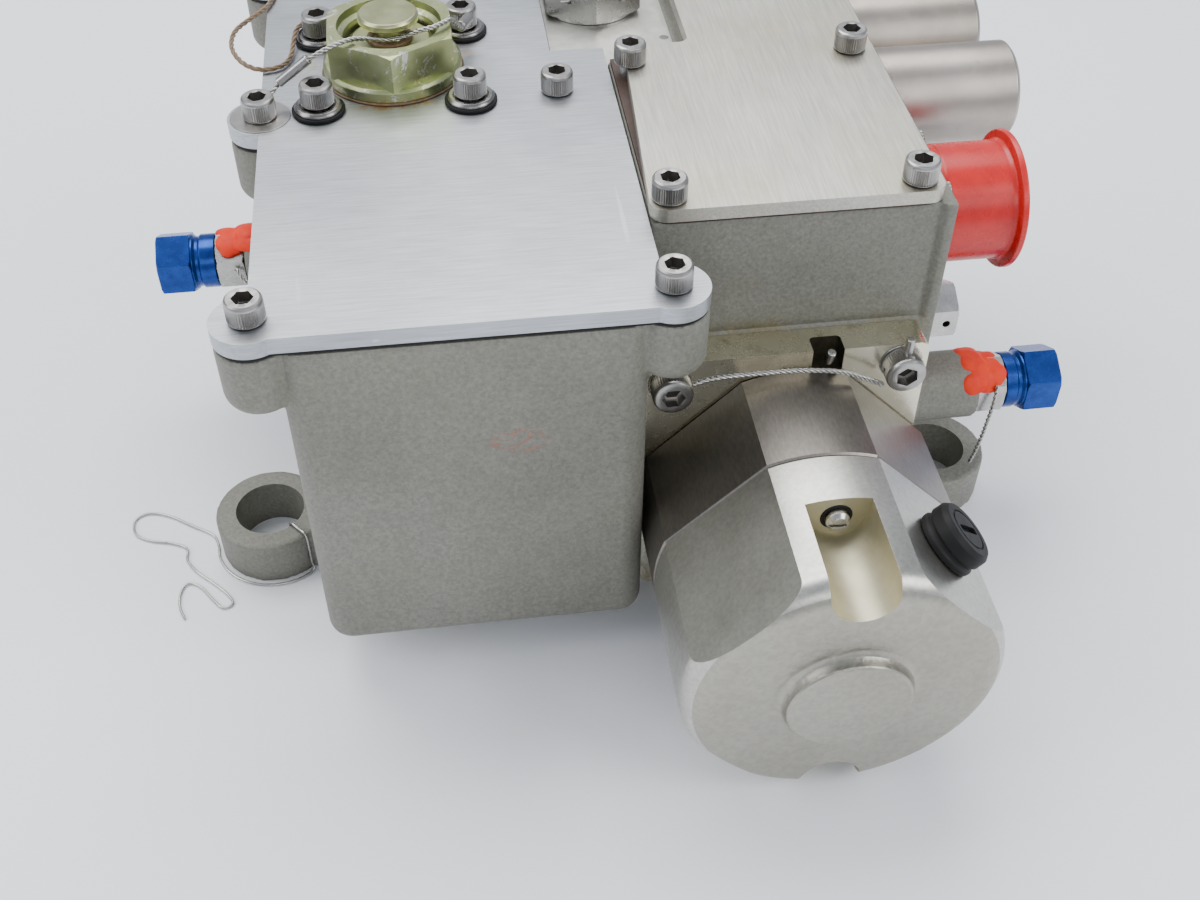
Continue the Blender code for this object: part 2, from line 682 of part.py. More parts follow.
def add_manifold_cover():
    item = lid_plan(LID_TOP - LID_THICK, LID_TOP)
    item.name = "manifold_cover"
    finish(item, material("lid", LID_GREY, 0.45, 0.9))
    low = BLOCK_TOP + GAP
    gasket = lid_plan(low, low + GASKET_THICK)
    gasket.name = "manifold_gasket"
    cut(gasket, block((22 * MM, 67 * MM), (-24 * MM, 32 * MM), (low - MM, low + 2 * MM)))
    cut(gasket, block((42 * MM, 67 * MM), (42 * MM, 106 * MM), (low - MM, low + 2 * MM)))
    finish(gasket, material("gasket", BLACK, 0.8, 0.0))


def add_plugs():
    """The large hex plug in the recess and the small one on the right side."""
    low = RECESS_FLOOR + GAP
    top = RECESS_PLUG_TOP
    stem = RECESS_PLUG_STEM_RADIUS
    foot = RECESS_PLUG_FOOT_RADIUS
    profile = (
        (0, low - RECESS_PLUG_STEM),
        (stem, low - RECESS_PLUG_STEM),
        (stem, low),
        (foot, low),
        (foot, low + MM),
        (0, low + MM),
    )
    big = turned("recess_plug", profile, (*RECESS_PLUG_AT, 0))
    join(big, hex_bar((*RECESS_PLUG_AT, low + MM / 2), UP, RECESS_PLUG_RADIUS, top - low - MM / 2))
    dish = (*RECESS_PLUG_AT, top - RECESS_PLUG_DISH_DEPTH)
    cut(big, rod(dish, UP, RECESS_PLUG_DISH_RADIUS, RECESS_PLUG_DISH_DEPTH * 2))
    finish(big, material("steel", STEEL, 0.3, 1.0))
    start = STRIP_X + GAP
    stem_start = (start - SIDE_PLUG_STEM, *SIDE_PLUG_AT)
    small = rod(stem_start, RIGHT, FITTING_STEM_RADIUS, SIDE_PLUG_STEM + MM, SMALL_ROUND)
    small.name = "side_plug"
    join(small, hex_bar((start, *SIDE_PLUG_AT), RIGHT, SIDE_PLUG_RADIUS, SIDE_PLUG_LENGTH))
    y, z = SIDE_PLUG_AT
    wire_hole = (start + SIDE_PLUG_LENGTH * 0.6, y, z - 2 * SIDE_PLUG_RADIUS)
    cut(small, rod(wire_hole, UP, WIRE_HOLE_RADIUS, 4 * SIDE_PLUG_RADIUS, 8))
    finish(small, material("steel", STEEL, 0.3, 1.0))


# ---------------------------------------------------------------- solenoids


def add_solenoid(side, y):
    root = STRIP_X + GAP
    length = SOLENOID_END - root
    outer = SOLENOID_RADIUS
    inner = outer - SOLENOID_WALL
    profile = (
        (0, length),
        (outer - MM, length),
        (outer, length - MM),
        (outer, 0),
        (inner, 0),
        (inner, length - 2 * MM),
        (0, length - 2 * MM),
    )
    case = turned(f"solenoid_case_{side}", profile, (root, y, SOLENOID_Z), RIGHT)
    finish(case, material("canister", CANISTER_BROWN, 0.35, 0.9))
    coil_at = root + 3 * MM
    ring = ((COIL_INNER, 0), (inner - GAP, 0), (inner - GAP, COIL_LENGTH), (COIL_INNER, COIL_LENGTH))
    coil = turned(f"solenoid_coil_{side}", ring, (coil_at, y, SOLENOID_Z), RIGHT, sides=24, hollow=True)
    finish(coil, material("copper", COPPER, 0.45, 0.9))
    plunger_at = coil_at + 4 * MM
    stem = plunger_at - root + SPOOL_DEPTH
    parts = (
        (0, -stem),
        (SPOOL_RADIUS, -stem),
        (SPOOL_RADIUS, 0),
        (PLUNGER_RADIUS, 0),
        (PLUNGER_RADIUS, PLUNGER_LENGTH),
        (0, PLUNGER_LENGTH),
    )
    plunger = turned(f"solenoid_plunger_{side}", parts, (plunger_at, y, SOLENOID_Z), RIGHT, sides=SMALL_ROUND)
    finish(plunger, material("steel", STEEL, 0.3, 1.0))
    add_spring(side, plunger_at + PLUNGER_LENGTH + GAP, SOLENOID_END - 2 * MM - GAP, y)


def add_spring(side, start, end, y):
    """A coil spring between the plunger's end and the canister's end wall."""
    steps = SPRING_TURNS * 12
    curve = bpy.data.curves.new(f"solenoid_spring_{side}", "CURVE")
    curve.dimensions = "3D"
    curve.bevel_depth = SPRING_WIRE / 2
    curve.bevel_resolution = 1
    curve.use_fill_caps = True
    line = curve.splines.new("POLY")
    line.points.add(steps)
    reach = end - start - SPRING_WIRE - 2 * GAP
    for i in range(steps + 1):
        angle = 2 * math.pi * SPRING_TURNS * i / steps
        x = start + SPRING_WIRE / 2 + GAP + reach * i / steps
        position = (x, y + SPRING_RADIUS * math.cos(angle), SOLENOID_Z + SPRING_RADIUS * math.sin(angle), 1)
        line.points[i].co = position
    item = add_object(f"solenoid_spring_{side}", curve)
    item.data.materials.append(material("steel", STEEL, 0.3, 1.0))


# -------------------------------------------------------- connector and ports


def add_connector():
    y, z = CONNECTOR_AT
    start = STRIP_X + GAP
    half = CONNECTOR_FLANGE_HALF
    shell = block((start, start + CONNECTOR_FLANGE_THICK), (y - half, y + half), (z - half, z + half))
    shell.name = "connector_shell"
    join(shell, rod((start + MM, y, z), RIGHT, CONNECTOR_RADIUS, CONNECTOR_END - start - MM))
    cut(shell, rod((start + CONNECTOR_FLANGE_THICK, y, z), RIGHT, CONNECTOR_RADIUS - CONNECTOR_WALL, 1.0))
    finish(shell, material("connector", STEEL, 0.4, 0.9))
    insert_at = start + CONNECTOR_FLANGE_THICK + GAP
    inner = CONNECTOR_RADIUS - CONNECTOR_WALL - GAP
    insert = rod((insert_at, y, z), RIGHT, inner, INSERT_LENGTH)
    insert.name = "connector_insert"
    for i in range(PIN_COUNT):
        angle = 2 * math.pi * i / PIN_COUNT
        pin_y = y + PIN_CIRCLE * math.cos(angle)
        pin_z = z + PIN_CIRCLE * math.sin(angle)
        pin_x = insert_at + INSERT_LENGTH - MM
        join(insert, rod((pin_x, pin_y, pin_z), RIGHT, PIN_RADIUS, PIN_LENGTH, 8))
    finish(insert, material("rubber", BLACK, 0.6, 0.0))
    inside = CONNECTOR_RADIUS + GAP
    dish = CAP_RADIUS - 1.2 * MM
    profile = (
        (0, CAP_END - 3 * MM),
        (dish, CAP_END - 3 * MM),
        (dish, CAP_END),
        (CAP_RIM_RADIUS, CAP_END),
        (CAP_RIM_RADIUS, CAP_END - CAP_RIM_LENGTH),
        (CAP_RADIUS, CAP_END - CAP_RIM_LENGTH),
        (CAP_RADIUS, CAP_START),
        (inside, CAP_START),
        (inside, CAP_END - 4.5 * MM),
        (0, CAP_END - 4.5 * MM),
    )
    cap = turned("connector_cap", profile, (0, y, z), RIGHT)
    finish(cap, material("red", RED, 0.35, 0.0))


def add_port(side, at, boss_end, sign):
    """One hydraulic fitting and its blue cap: stem, hex, nose; skirt and hex."""
    axis = RIGHT if sign > 0 else LEFT
    start = abs(boss_end) + GAP
    hex_end = start + FITTING_HEX_LENGTH
    nose_end = hex_end + FITTING_NOSE_LENGTH
    fitting = turned(
        f"{side}_fitting",
        (
            (0, start - FITTING_STEM_LENGTH),
            (FITTING_STEM_RADIUS, start - FITTING_STEM_LENGTH),
            (FITTING_STEM_RADIUS, start + MM),
            (FITTING_NOSE_RADIUS, start + MM),
            (FITTING_NOSE_RADIUS, nose_end - MM),
            (FITTING_NOSE_RADIUS - MM, nose_end),
            (0, nose_end),
        ),
        (0, *at),
        axis,
        sides=SMALL_ROUND,
    )
    join(fitting, hex_bar((sign * start, *at), axis, FITTING_HEX_RADIUS, FITTING_HEX_LENGTH))
    finish(fitting, material("steel", STEEL, 0.3, 1.0))
    low = hex_end + GAP
    skirt_end = PART_END - BLUE_HEX_LENGTH
    cap = turned(
        f"{side}_cap",
        ((0, low), (BLUE_SKIRT_RADIUS, low), (BLUE_SKIRT_RADIUS, skirt_end + MM), (0, skirt_end + MM)),
        (0, *at),
        axis,
        sides=24,
    )
    join(cap, hex_bar((sign * skirt_end, *at), axis, BLUE_HEX_RADIUS, BLUE_HEX_LENGTH))
    room = nose_end - low + 2 * MM
    cut(cap, rod((sign * (low - MM), *at), axis, FITTING_NOSE_RADIUS + GAP, room, SMALL_ROUND))
    finish(cap, material("blue", BLUE, 0.3, 0.7))


# -------------------------------------------------------------------- motor


def motor_outline(radius, flat, steps=5):
    """The motor's section about its axis: arcs at the top, bottom and sides, flats at 45 degrees."""
    half = math.acos(flat / radius)
    points = []
    for quarter in range(4):
        middle = math.pi / 2 * quarter
        reach = math.pi / 4 - half
        for i in range(steps + 1):
            angle = middle - reach + 2 * reach * i / steps
            points.append((radius * math.cos(angle), radius * math.sin(angle)))
    return points


def motor_prism(name, front, back, inset):
    """The motor's section from y front to y back, drawn in by inset."""
    outline = motor_outline(MOTOR_RADIUS - inset, MOTOR_FLAT - inset)
    mesh = prism_mesh(name, outline, 0, back - front)
    return place_motor(add_object(name, mesh), back)


def place_motor(item, back):
    """Own Z axis along -Y and own Y axis up, so the section stands upright."""
    item.matrix_world = Matrix.Translation((MOTOR_X, back, MOTOR_Z)) @ UPRIGHT
    return item


def add_motor_flange():
    outline = rounded_outline(FLANGE_X, FLANGE_Z, 5 * MM)
    mesh = prism_mesh("flange", outline, 0, FLANGE_Y[1] - FLANGE_Y[0])
    item = add_object("motor_flange", mesh)
    item.matrix_world = Matrix.Translation((0, FLANGE_Y[1], 0)) @ UPRIGHT
    cut(item, rod((MOTOR_X, FLANGE_Y[0] - MM, MOTOR_Z), BACK, SPIGOT_RADIUS, 5 * MM))
    cut(item, rod((MOTOR_X, FLANGE_Y[0] - MM, MOTOR_Z), BACK, SHAFT_RADIUS + GAP, 20 * MM, 24))
    slot_y = (FLANGE_Y[0] - MM, FLANGE_Y[0] + FLANGE_SLOT_DEPTH)
    cut(item, block(FLANGE_SLOT_X, slot_y, (MOTOR_Z + MOTOR_RADIUS - MM, 1.0)))
    for x, z in FLANGE_SCREWS.values():
        cut(item, rod((x, FLANGE_Y[0] - MM, z), BACK, HOLE_RADIUS, 14 * MM, SMALL_ROUND))
    finish(item, material("flange", FLANGE_GOLD, 0.3, 0.9))


def add_motor_housing():
    back = FLANGE_Y[0] - GAP
    item = motor_prism("motor_housing", SEAM_Y + GAP, back, 0)
    cut(item, rod((MOTOR_X, SEAM_Y - MM, MOTOR_Z), BACK, STATOR_RADIUS + GAP, back - SEAM_Y - 2 * MM))
    cut(item, rod((MOTOR_X, back + MM, MOTOR_Z), FRONT, BEARING_RADIUS + GAP, 20 * MM, 24))
    finish(item, material("dark_steel", DARK_STEEL, 0.35, 0.9))


def add_end_bell():
    item = motor_prism("end_bell", BELL_FRONT + BELL_ROUNDING, SEAM_Y, 0)
    nose = motor_nose()
    join(item, nose)
    join(item, rod((MOTOR_X, BELL_FRONT + MM, MOTOR_Z), FRONT, BOSS_RADIUS, BELL_FRONT + MM - BOSS_FRONT))
    inner = STATOR_RADIUS - 5 * MM
    stator_room = SEAM_Y + MM - STACK_Y[0] + 2 * MM
    cut(item, rod((MOTOR_X, SEAM_Y + MM, MOTOR_Z), FRONT, STATOR_RADIUS + GAP, stator_room))
    cut(item, rod((MOTOR_X, STACK_Y[0], MOTOR_Z), FRONT, inner - 4 * MM, 16 * MM))
    cut(item, rod((MOTOR_X, SEAM_Y, MOTOR_Z), FRONT, BEARING_RADIUS + GAP, 37 * MM, 24))
    for sign in (1, -1):
        cut(item, pocket(sign))
        hole = (MOTOR_X, POCKET_BACK - MM, MOTOR_Z + sign * BELL_SCREW_OFFSET)
        cut(item, rod(hole, BACK, BELL_SCREW_RADIUS / 2 + GAP, 2 * BELL_SCREW_SHANK, SMALL_ROUND))
    finish(item, material("bell", BELL_GREY, 0.4, 0.9))


def motor_nose():
    """The end bell's rounded front: sections drawn in along a quarter circle."""
    steps = 4
    rings = []
    for i in range(steps + 1):
        angle = math.pi / 2 * i / steps
        inset = BELL_ROUNDING * (1 - math.cos(angle))
        height = BELL_ROUNDING * math.sin(angle)
        rings.append((motor_outline(MOTOR_RADIUS - inset, MOTOR_FLAT - inset), height))

    def build(bm):
        layers = [[bm.verts.new((x, y, h)) for x, y in outline] for outline, h in rings]
        layers.insert(0, [bm.verts.new((x, y, -MM)) for x, y in rings[0][0]])
        bm.faces.new(layers[0])
        bm.faces.new(layers[-1])
        for low, high in zip(layers, layers[1:]):
            for i, vert in enumerate(low):
                after = (i + 1) % len(low)
                bm.faces.new((vert, low[after], high[after], high[i]))

    return place_motor(add_object("tool", mesh_from("nose", build)), BELL_FRONT + BELL_ROUNDING)


def pocket(sign):
    """A half-round pocket, open to the front, for one of the end bell's screws."""
    z = MOTOR_Z + sign * (POCKET_FLOOR + POCKET_HALF)
    length = POCKET_BACK - BELL_FRONT + 5 * MM
    item = rod((MOTOR_X, POCKET_BACK, z), FRONT, POCKET_HALF, length, 24)
    high = sorted((z, z + sign * 20 * MM))
    wide = (MOTOR_X - POCKET_HALF, MOTOR_X + POCKET_HALF)
    join(item, block(wide, (POCKET_BACK - length, POCKET_BACK), high))
    return item


def add_bell_screws():
    for name, sign in (("top", 1), ("bottom", -1)):
        z = MOTOR_Z + sign * BELL_SCREW_OFFSET
        radius = BELL_SCREW_RADIUS
        head = (
            (0, -BELL_SCREW_SHANK),
            (radius / 2, -BELL_SCREW_SHANK),
            (radius / 2, GAP),
            (radius, GAP),
            (radius, BELL_SCREW_HEIGHT * 0.8),
            (radius * 0.7, BELL_SCREW_HEIGHT),
            (0, BELL_SCREW_HEIGHT),
        )
        item = turned(f"bell_screw_{name}", head, (MOTOR_X, POCKET_BACK, z), FRONT, sides=SMALL_ROUND)
        slot_x = (MOTOR_X - 2 * radius, MOTOR_X + 2 * radius)
        slot_y = (POCKET_BACK - 2 * BELL_SCREW_HEIGHT, POCKET_BACK - BELL_SCREW_HEIGHT + MM)
        half_slot = BELL_SCREW_SLOT / 2
        cut(item, block(slot_x, slot_y, (z - half_slot, z + half_slot)))
        finish(item, material("steel", STEEL, 0.3, 1.0))


def add_rubber_plug():
    """A round plug standing on the upper right flat of the end bell."""
    outward = Vector((math.cos(PLUG_ANGLE), 0, math.sin(PLUG_ANGLE)))
    at = Vector((MOTOR_X, PLUG_Y, MOTOR_Z)) + outward * (MOTOR_FLAT + GAP)
    profile = (
        (0, 0),
        (PLUG_RADIUS, 0),
        (PLUG_RADIUS, PLUG_HEIGHT - 1.5 * MM),
        (PLUG_RADIUS - 1.5 * MM, PLUG_HEIGHT),
        (0, PLUG_HEIGHT),
    )
    item = turned("rubber_plug", profile, at, outward)
    finish(item, material("rubber", BLACK, 0.6, 0.0))


def add_motor_inside():
    """Stator, rotor with its shaft, and the two bearings."""
    length = STACK_Y[1] - STACK_Y[0]
    bore = ROTOR_RADIUS + GAP
    ring = ((bore, 0), (STATOR_RADIUS, 0), (STATOR_RADIUS, length), (bore, length))
    stator = turned("stator", ring, (MOTOR_X, STACK_Y[1], MOTOR_Z), FRONT, hollow=True)
    finish(stator, material("copper", COPPER, 0.45, 0.9))
    back = STACK_Y[1] - (PUMP_SHAFT_END)
    profile = (
        (0, back),
        (SHAFT_RADIUS, back),
        (SHAFT_RADIUS, 2 * MM),
        (ROTOR_RADIUS, 2 * MM),
        (ROTOR_RADIUS, length - 2 * MM),
        (SHAFT_RADIUS, length - 2 * MM),
        (SHAFT_RADIUS, length + 22 * MM),
        (0, length + 22 * MM),
    )
    rotor = turned("rotor", profile, (MOTOR_X, STACK_Y[1], MOTOR_Z), FRONT)
    finish(rotor, material("steel", STEEL, 0.3, 1.0))
    inner = SHAFT_RADIUS + GAP
    race = ((inner, 0), (BEARING_RADIUS, 0), (BEARING_RADIUS, BEARING_WIDTH), (inner, BEARING_WIDTH))
    for name, y in (("rear_bearing", FLANGE_Y[0] - 1.5 * MM), ("front_bearing", SEAM_Y - 29 * MM)):
        bearing = turned(name, race, (MOTOR_X, y, MOTOR_Z), FRONT, sides=24, hollow=True)
        finish(bearing, material("steel", STEEL, 0.3, 1.0))


# --------------------------------------------------------------- pump gears


def gear_outline(turn):
    """Straight-sided teeth: a tip and a root for each, narrower at the tip."""
    step = 2 * math.pi / GEAR_TEETH
    points = []
    for tooth in range(GEAR_TEETH):
        middle = turn + tooth * step
        for radius, share in ((GEAR_ROOT, -0.33), (GEAR_OUTER, -0.12), (GEAR_OUTER, 0.12), (GEAR_ROOT, 0.33)):
            angle = middle + share * step
            points.append((radius * math.cos(angle), radius * math.sin(angle)))
    return points


def add_gear(name, z, turn, bore):
    mesh = prism_mesh(name, gear_outline(turn), 0, GEAR_Y[1] - GEAR_Y[0])
    item = add_object(name, mesh)
    item.matrix_world = Matrix.Translation((MOTOR_X, GEAR_Y[1], z)) @ UPRIGHT
    if bore:
        cut(item, rod((MOTOR_X, GEAR_Y[0] - MM, z), BACK, GEAR_BORE, 20 * MM, 24))
    else:
        join(item, rod((MOTOR_X, GEAR_Y[1] - MM, z), BACK, SHAFT_RADIUS, PUMP_SHAFT_END - GEAR_Y[1], 24))
    finish(item, material("steel", STEEL, 0.3, 1.0))


# ------------------------------------------------------------ wires and cords


def smooth_route(corners, spacing):
    """Points along a smooth curve through the corners, about spacing apart."""
    line = [Vector(c) for c in corners]
    line = [line[0] * 2 - line[1], *line, line[-1] * 2 - line[-2]]
    points = []
    for before, start, end, after in zip(line, line[1:], line[2:], line[3:]):
        steps = max(1, round((end - start).length / spacing))
        for i in range(steps):
            t = i / steps
            points.append(
                0.5 * (2 * start + (end - before) * t + (2 * before - 5 * start + 4 * end - after) * t**2
                + (3 * start - before - 3 * end + after) * t**3)
            )
    return [*points, line[-2]]


def add_wire(name, corners, diameter, spacing, look):
    """A tube of the wire's diameter along its route."""
    curve = bpy.data.curves.new(name, "CURVE")
    curve.dimensions = "3D"
    curve.bevel_depth = diameter / 2
    curve.bevel_resolution = 2
    curve.use_fill_caps = True
    route = smooth_route(corners, spacing)
    line = curve.splines.new("POLY")
    line.points.add(len(route) - 1)
    for point, position in zip(line.points, route):
        point.co = (*position, 1)
    item = add_object(name, curve)
    item.data.materials.append(look)
    return item


def ring_point(angle, radius, height):
    """A point round the left lug's axis."""
    turn = math.radians(angle)
    return (LEFT_LUG[0] + radius * math.cos(turn), LEFT_LUG[1] + radius * math.sin(turn), height)


def scaled(points):
    return [(x * MM, y * MM, z * MM) for x, y, z in points]


def lug_wire_route():
    """From inside the lug's bore over its top, round its foot, then two loops on the surface."""
    over_top = (
        (10, 8),
        (10, 14.8),
        (10.3, 16.6),
        (11.6, 17.2),
        (14, 17),
        (16.6, 17.2),
        (18, 16.7),
        (18.3, 14.5),
        (18.3, 9),
        (18.3, 4),
        (18.8, 1.2),
    )
    route = [ring_point(-50, radius * MM, height * MM) for radius, height in over_top]
    route += [ring_point(angle, WIRE_FOOT_RADIUS, WIRE_LOW) for angle in WIRE_FOOT_ANGLES]
    loops = (
        (-132, -8),
        (-139, -3),
        (-147, 2.5),
        (-154, 4.5),
        (-158, 1.5),
        (-157, -4.5),
        (-152, -8),
        (-145, -10),
        (-140, -13),
        (-139.5, -18),
        (-136, -23.5),
        (-130.5, -29),
        (-126, -34),
        (-124, -38),
        (-127, -39.5),
        (-130.5, -35.5),
        (-134.5, -30),
        (-138.5, -28),
        (-140.5, -31.5),
        (-140.5, -37),
        (-138.5, -42.5),
    )
    return route + [(x * MM, y * MM, WIRE_LOW) for x, y in loops]


LANYARD_ROUTE = (
    (-92.9, 33.5, 137.2),
    (-89.5, 35.8, 140),
    (-84.5, 36.2, 143.8),
    (-79.5, 35.8, 146.8),
    (-75, 36.6, 148.6),
    (-70.7, 38.6, 149.1),
    (-67.2, 41.1, 148.3),
    (-62.3, 43.6, 146.4),
    (-58, 44.5, 145.7),
    (-53.7, 44.4, 146.6),
    (-49.4, 43.3, 148.5),
    (-45.5, 43.5, 149.2),
    (-42.6, 45.6, 149.2),
    (-40.0, 48.4, 148.6),
    (-38.0, 52.5, 144.5),
    (-36.4, 56.5, 141.5),
    (-34.6, 60.5, 140.4),
)
FLANGE_WIRE_ROUTE = (
    (16.2, -50.8, 88.8),
    (22, -51.2, 90.6),
    (34, -51.5, 91.2),
    (46, -51.5, 91),
    (57, -51.5, 89.4),
    (65, -51.5, 86),
    (70.6, -51, 82.6),
)
EYE_CORD_ROUTE = (
    (-74, 68.2, 136),
    (-73.3, 72.4, 136),
    (-75.8, 76.2, 136),
    (-80, 77.7, 136),
    (-84.6, 75.7, 136),
    (-86.8, 71, 136),
    (-87.6, 65.5, 135),
    (-88.4, 60, 133.8),
    (-91, 55, 133.6),
    (-97, 53.5, 133.6),
    (-102.5, 57.5, 134),
    (-106, 66, 134.5),
    (-105.5, 76, 134.5),
    (-101, 85, 134),
    (-96.5, 93, 133.6),
    (-94.5, 102, 133.6),
    (-95.5, 109.5, 133.7),
)


def add_wires():
    steel = material("steel", STEEL, 0.3, 1.0)
    add_wire("lanyard_cable", scaled(LANYARD_ROUTE), CABLE_DIAMETER, 4 * MM, steel)
    add_wire("flange_lockwire", scaled(FLANGE_WIRE_ROUTE), CABLE_DIAMETER, 4 * MM, steel)
    add_wire("lug_wire", lug_wire_route(), WIRE_DIAMETER, 2.6 * MM, steel)
    brown = material("brown_cord", BROWN, 0.8, 0.0)
    add_wire("eye_cord", scaled(EYE_CORD_ROUTE), CORD_DIAMETER, 5 * MM, brown)


def main():
    clear_scene()
    screw = screw_mesh()
    add_reservoir_tank()
    add_reservoir_gasket()
    add_reservoir_cover()
    for name, (x, y) in RESERVOIR_SCREWS.items():
        add_screw(f"reservoir_screw_{name}", screw, (x, y, COVER_TOP + GAP))
    add_filler(screw)
    add_manifold_block()
    add_manifold_cover()
    for name, (x, y) in MANIFOLD_SCREWS.items():
        add_screw(f"manifold_screw_{name}", screw, (x, y, LID_TOP + GAP))
    add_plugs()
    for side, y in SOLENOID_Y.items():
        add_solenoid(side, y)
    add_connector()
    add_port("right", RIGHT_PORT_AT, RIGHT_BOSS_END, 1)
    add_port("left", LEFT_PORT_AT, LEFT_BOSS_END, -1)
    add_motor_flange()
    for name, (x, z) in FLANGE_SCREWS.items():
        add_screw(f"flange_screw_{name}", screw, (x, FLANGE_Y[0] - GAP, z), FRONT)
    add_motor_housing()
    add_end_bell()
    add_bell_screws()
    add_rubber_plug()
    add_motor_inside()
    add_gear("drive_gear", MOTOR_Z, math.pi / 2, True)
    add_gear("driven_gear", MOTOR_Z + 2 * GEAR_PITCH_RADIUS, math.pi / GEAR_TEETH - math.pi / 2, False)
    add_wires()


main()
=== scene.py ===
"""Looks for a motor-driven hydraulic power unit, built round its CAD frame.

The frame is in metres, +Z up, -Y towards the motor's end bell. Sizes and places here are in
millimetres in that same frame, and the mesh helpers turn them into metres.
"""

import math

import bmesh
import bpy
import numpy as np
from mathutils import Matrix, Vector


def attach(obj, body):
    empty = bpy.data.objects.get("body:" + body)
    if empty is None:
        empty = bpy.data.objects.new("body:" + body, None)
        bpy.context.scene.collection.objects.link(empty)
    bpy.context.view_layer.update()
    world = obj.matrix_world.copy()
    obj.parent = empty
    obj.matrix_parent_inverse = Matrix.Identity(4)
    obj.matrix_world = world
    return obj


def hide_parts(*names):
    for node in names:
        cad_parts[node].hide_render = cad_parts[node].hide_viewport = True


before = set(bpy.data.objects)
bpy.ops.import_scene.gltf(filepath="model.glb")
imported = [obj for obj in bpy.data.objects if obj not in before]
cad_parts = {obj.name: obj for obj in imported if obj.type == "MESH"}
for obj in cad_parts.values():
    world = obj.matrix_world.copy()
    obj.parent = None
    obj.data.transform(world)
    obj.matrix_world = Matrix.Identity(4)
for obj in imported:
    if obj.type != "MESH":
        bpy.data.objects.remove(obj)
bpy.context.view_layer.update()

MM = 0.001
RIGHT, LEFT = Vector((1, 0, 0)), Vector((-1, 0, 0))
BACK, FRONT = Vector((0, 1, 0)), Vector((0, -1, 0))
UP = Vector((0, 0, 1))
UPRIGHT = Matrix.Rotation(math.radians(90), 4, "X")
HOUSING = "housing"
DIAMOND = ((1, 0), (0, 1), (-1, 0), (0, -1))
VOXEL, QUICK_VOXEL = 0.9, 2.0

# Camera: place in the frame, angles in degrees, lens in millimetres.
CAMERA_AT = (-48.0, -331.5, 347.5)
CAMERA_TILT = 44.75
CAMERA_YAW = 7.83
CAMERA_ROLL = 0.36
CAMERA_LENS = 42.24

# Reservoir and its cover.
TANK_X = (-91.4, 1.2)
TANK_Y = (-70.0, 122.0)
TANK_Z = (14.8, 126.7)
TANK_CORNER = 7
WALL = 5
COVER_X = (-96.7, 5.3)
COVER_BACK = 125.0
COVER_Z = (127.8, 132.5)
NOTCH = (-10.9, 56.0)
EAR_RADIUS = 9.4
EARS = {
    "front_left": (-96.3, -62.0),
    "front_right": (7.2, -61.8),
    "mid_left": (-96.5, 29.0),
    "rear_left": (-96.3, 117.5),
}
INBOARD_SCREW = (-11.2, 33.0)
FILLER = (-58.2, 51.0)
FILLER_SCREWS = ((-80.0, 30.0), (-36.5, 30.0), (-80.0, 71.0), (-36.5, 71.0))

# Screws: quarter-inch socket heads.
HEAD_RADIUS = 4.75
HEAD_HEIGHT = 6.35
SOCKET_RADIUS = 2.75
KNURLS = 44
FLANGE_HEAD_SCALE = 1.2
SCREW_HOLE = 3.6
SCREW_LIFT = 0.3

# Manifold, pump casting and lid.
BLOCK_X = (2.3, 88.0)
BLOCK_Y = (-35.0, 118.0)
BLOCK_TOP = 131.7
STRIP_X = 88.5
LID_X = (5.7, 84.8)
LID_Y = (-36.5, 118.0)
LID_Z = (132.8, 136.7)
RECESS_FLOOR = 128.0
RECESS = (30.4, 49.0)
RECESS_X_LOW = -10.6
LID_SCREWS = {
    "front_left": (11.1, -31.0),
    "front_right": (78.2, -31.0),
    "back_right": (77.4, 38.9),
    "back_left": (11.1, 38.9),
}
RECESS_PLUG = (6.0, 93.0)
SIDE_PLUG = (-25.0, 87.0)
LEFT_LUG = (-110.8, -13.0)
RIGHT_LUG = (108.0, -12.5)
REAR_LUG = (40.0, 113.2)
LUG_RADIUS = 17.3
LUG_HOLE = 10.8
LUG_TOP = 16.0
PORT_BOSS = 11
PAINT_LUMPS = 34

# Motor.
MOTOR = (45.6, 44.0)
MOTOR_RADIUS = 43.7
MOTOR_FLAT = 39.6
FLANGE_Y = (-47.0, -37.0)
FLANGE_X = (4.0, 84.0)
FLANGE_Z = (2.0, 93.5)
FLANGE_SCREWS = {"left": (10.5, 86.5), "right": (76.2, 87.0)}
# The slot down into the flange's top edge.
SLOT_X = (50.5, 59.3)
SLOT_DEPTH = 6
SLOT_FLOOR = 86
SEAM_Y = -81.3
BELL_FRONT = -126.7
BELL_ROUNDING = 7.0
BOSS_RADIUS = 17.0
BOSS_HEIGHT = 3.8
# The boss's fillet and rim: (distance outside its radius, height above the bell's front).
BOSS_EDGE = (
    (2.6, -4), (2.6, 0), (1.5, 0.2), (0.7, 0.7), (0.2, 1.5), (0, 2.6), (-0.1, 3.1), (-0.4, 3.5), (-1.0, 3.75),
)
BELL_BORE = 36.3
BELL_SCREW_OFFSET = 37
POCKET_HALF = 8.9
POCKET_BACK = -97.0
POCKET_FLOOR = 31.0
PLUG_Y = -103.0

# Solenoids, connector and ports, all on X axes.
SOLENOID_Z = 106.0
SOLENOIDS = {"front": 60.0, "rear": 100.0}
SOLENOID_END = 139.0
CONNECTOR = (1.6, 105.0)
RIGHT_PORT = (-12.5, 44.0)
LEFT_PORT = (64.0, 58.5)

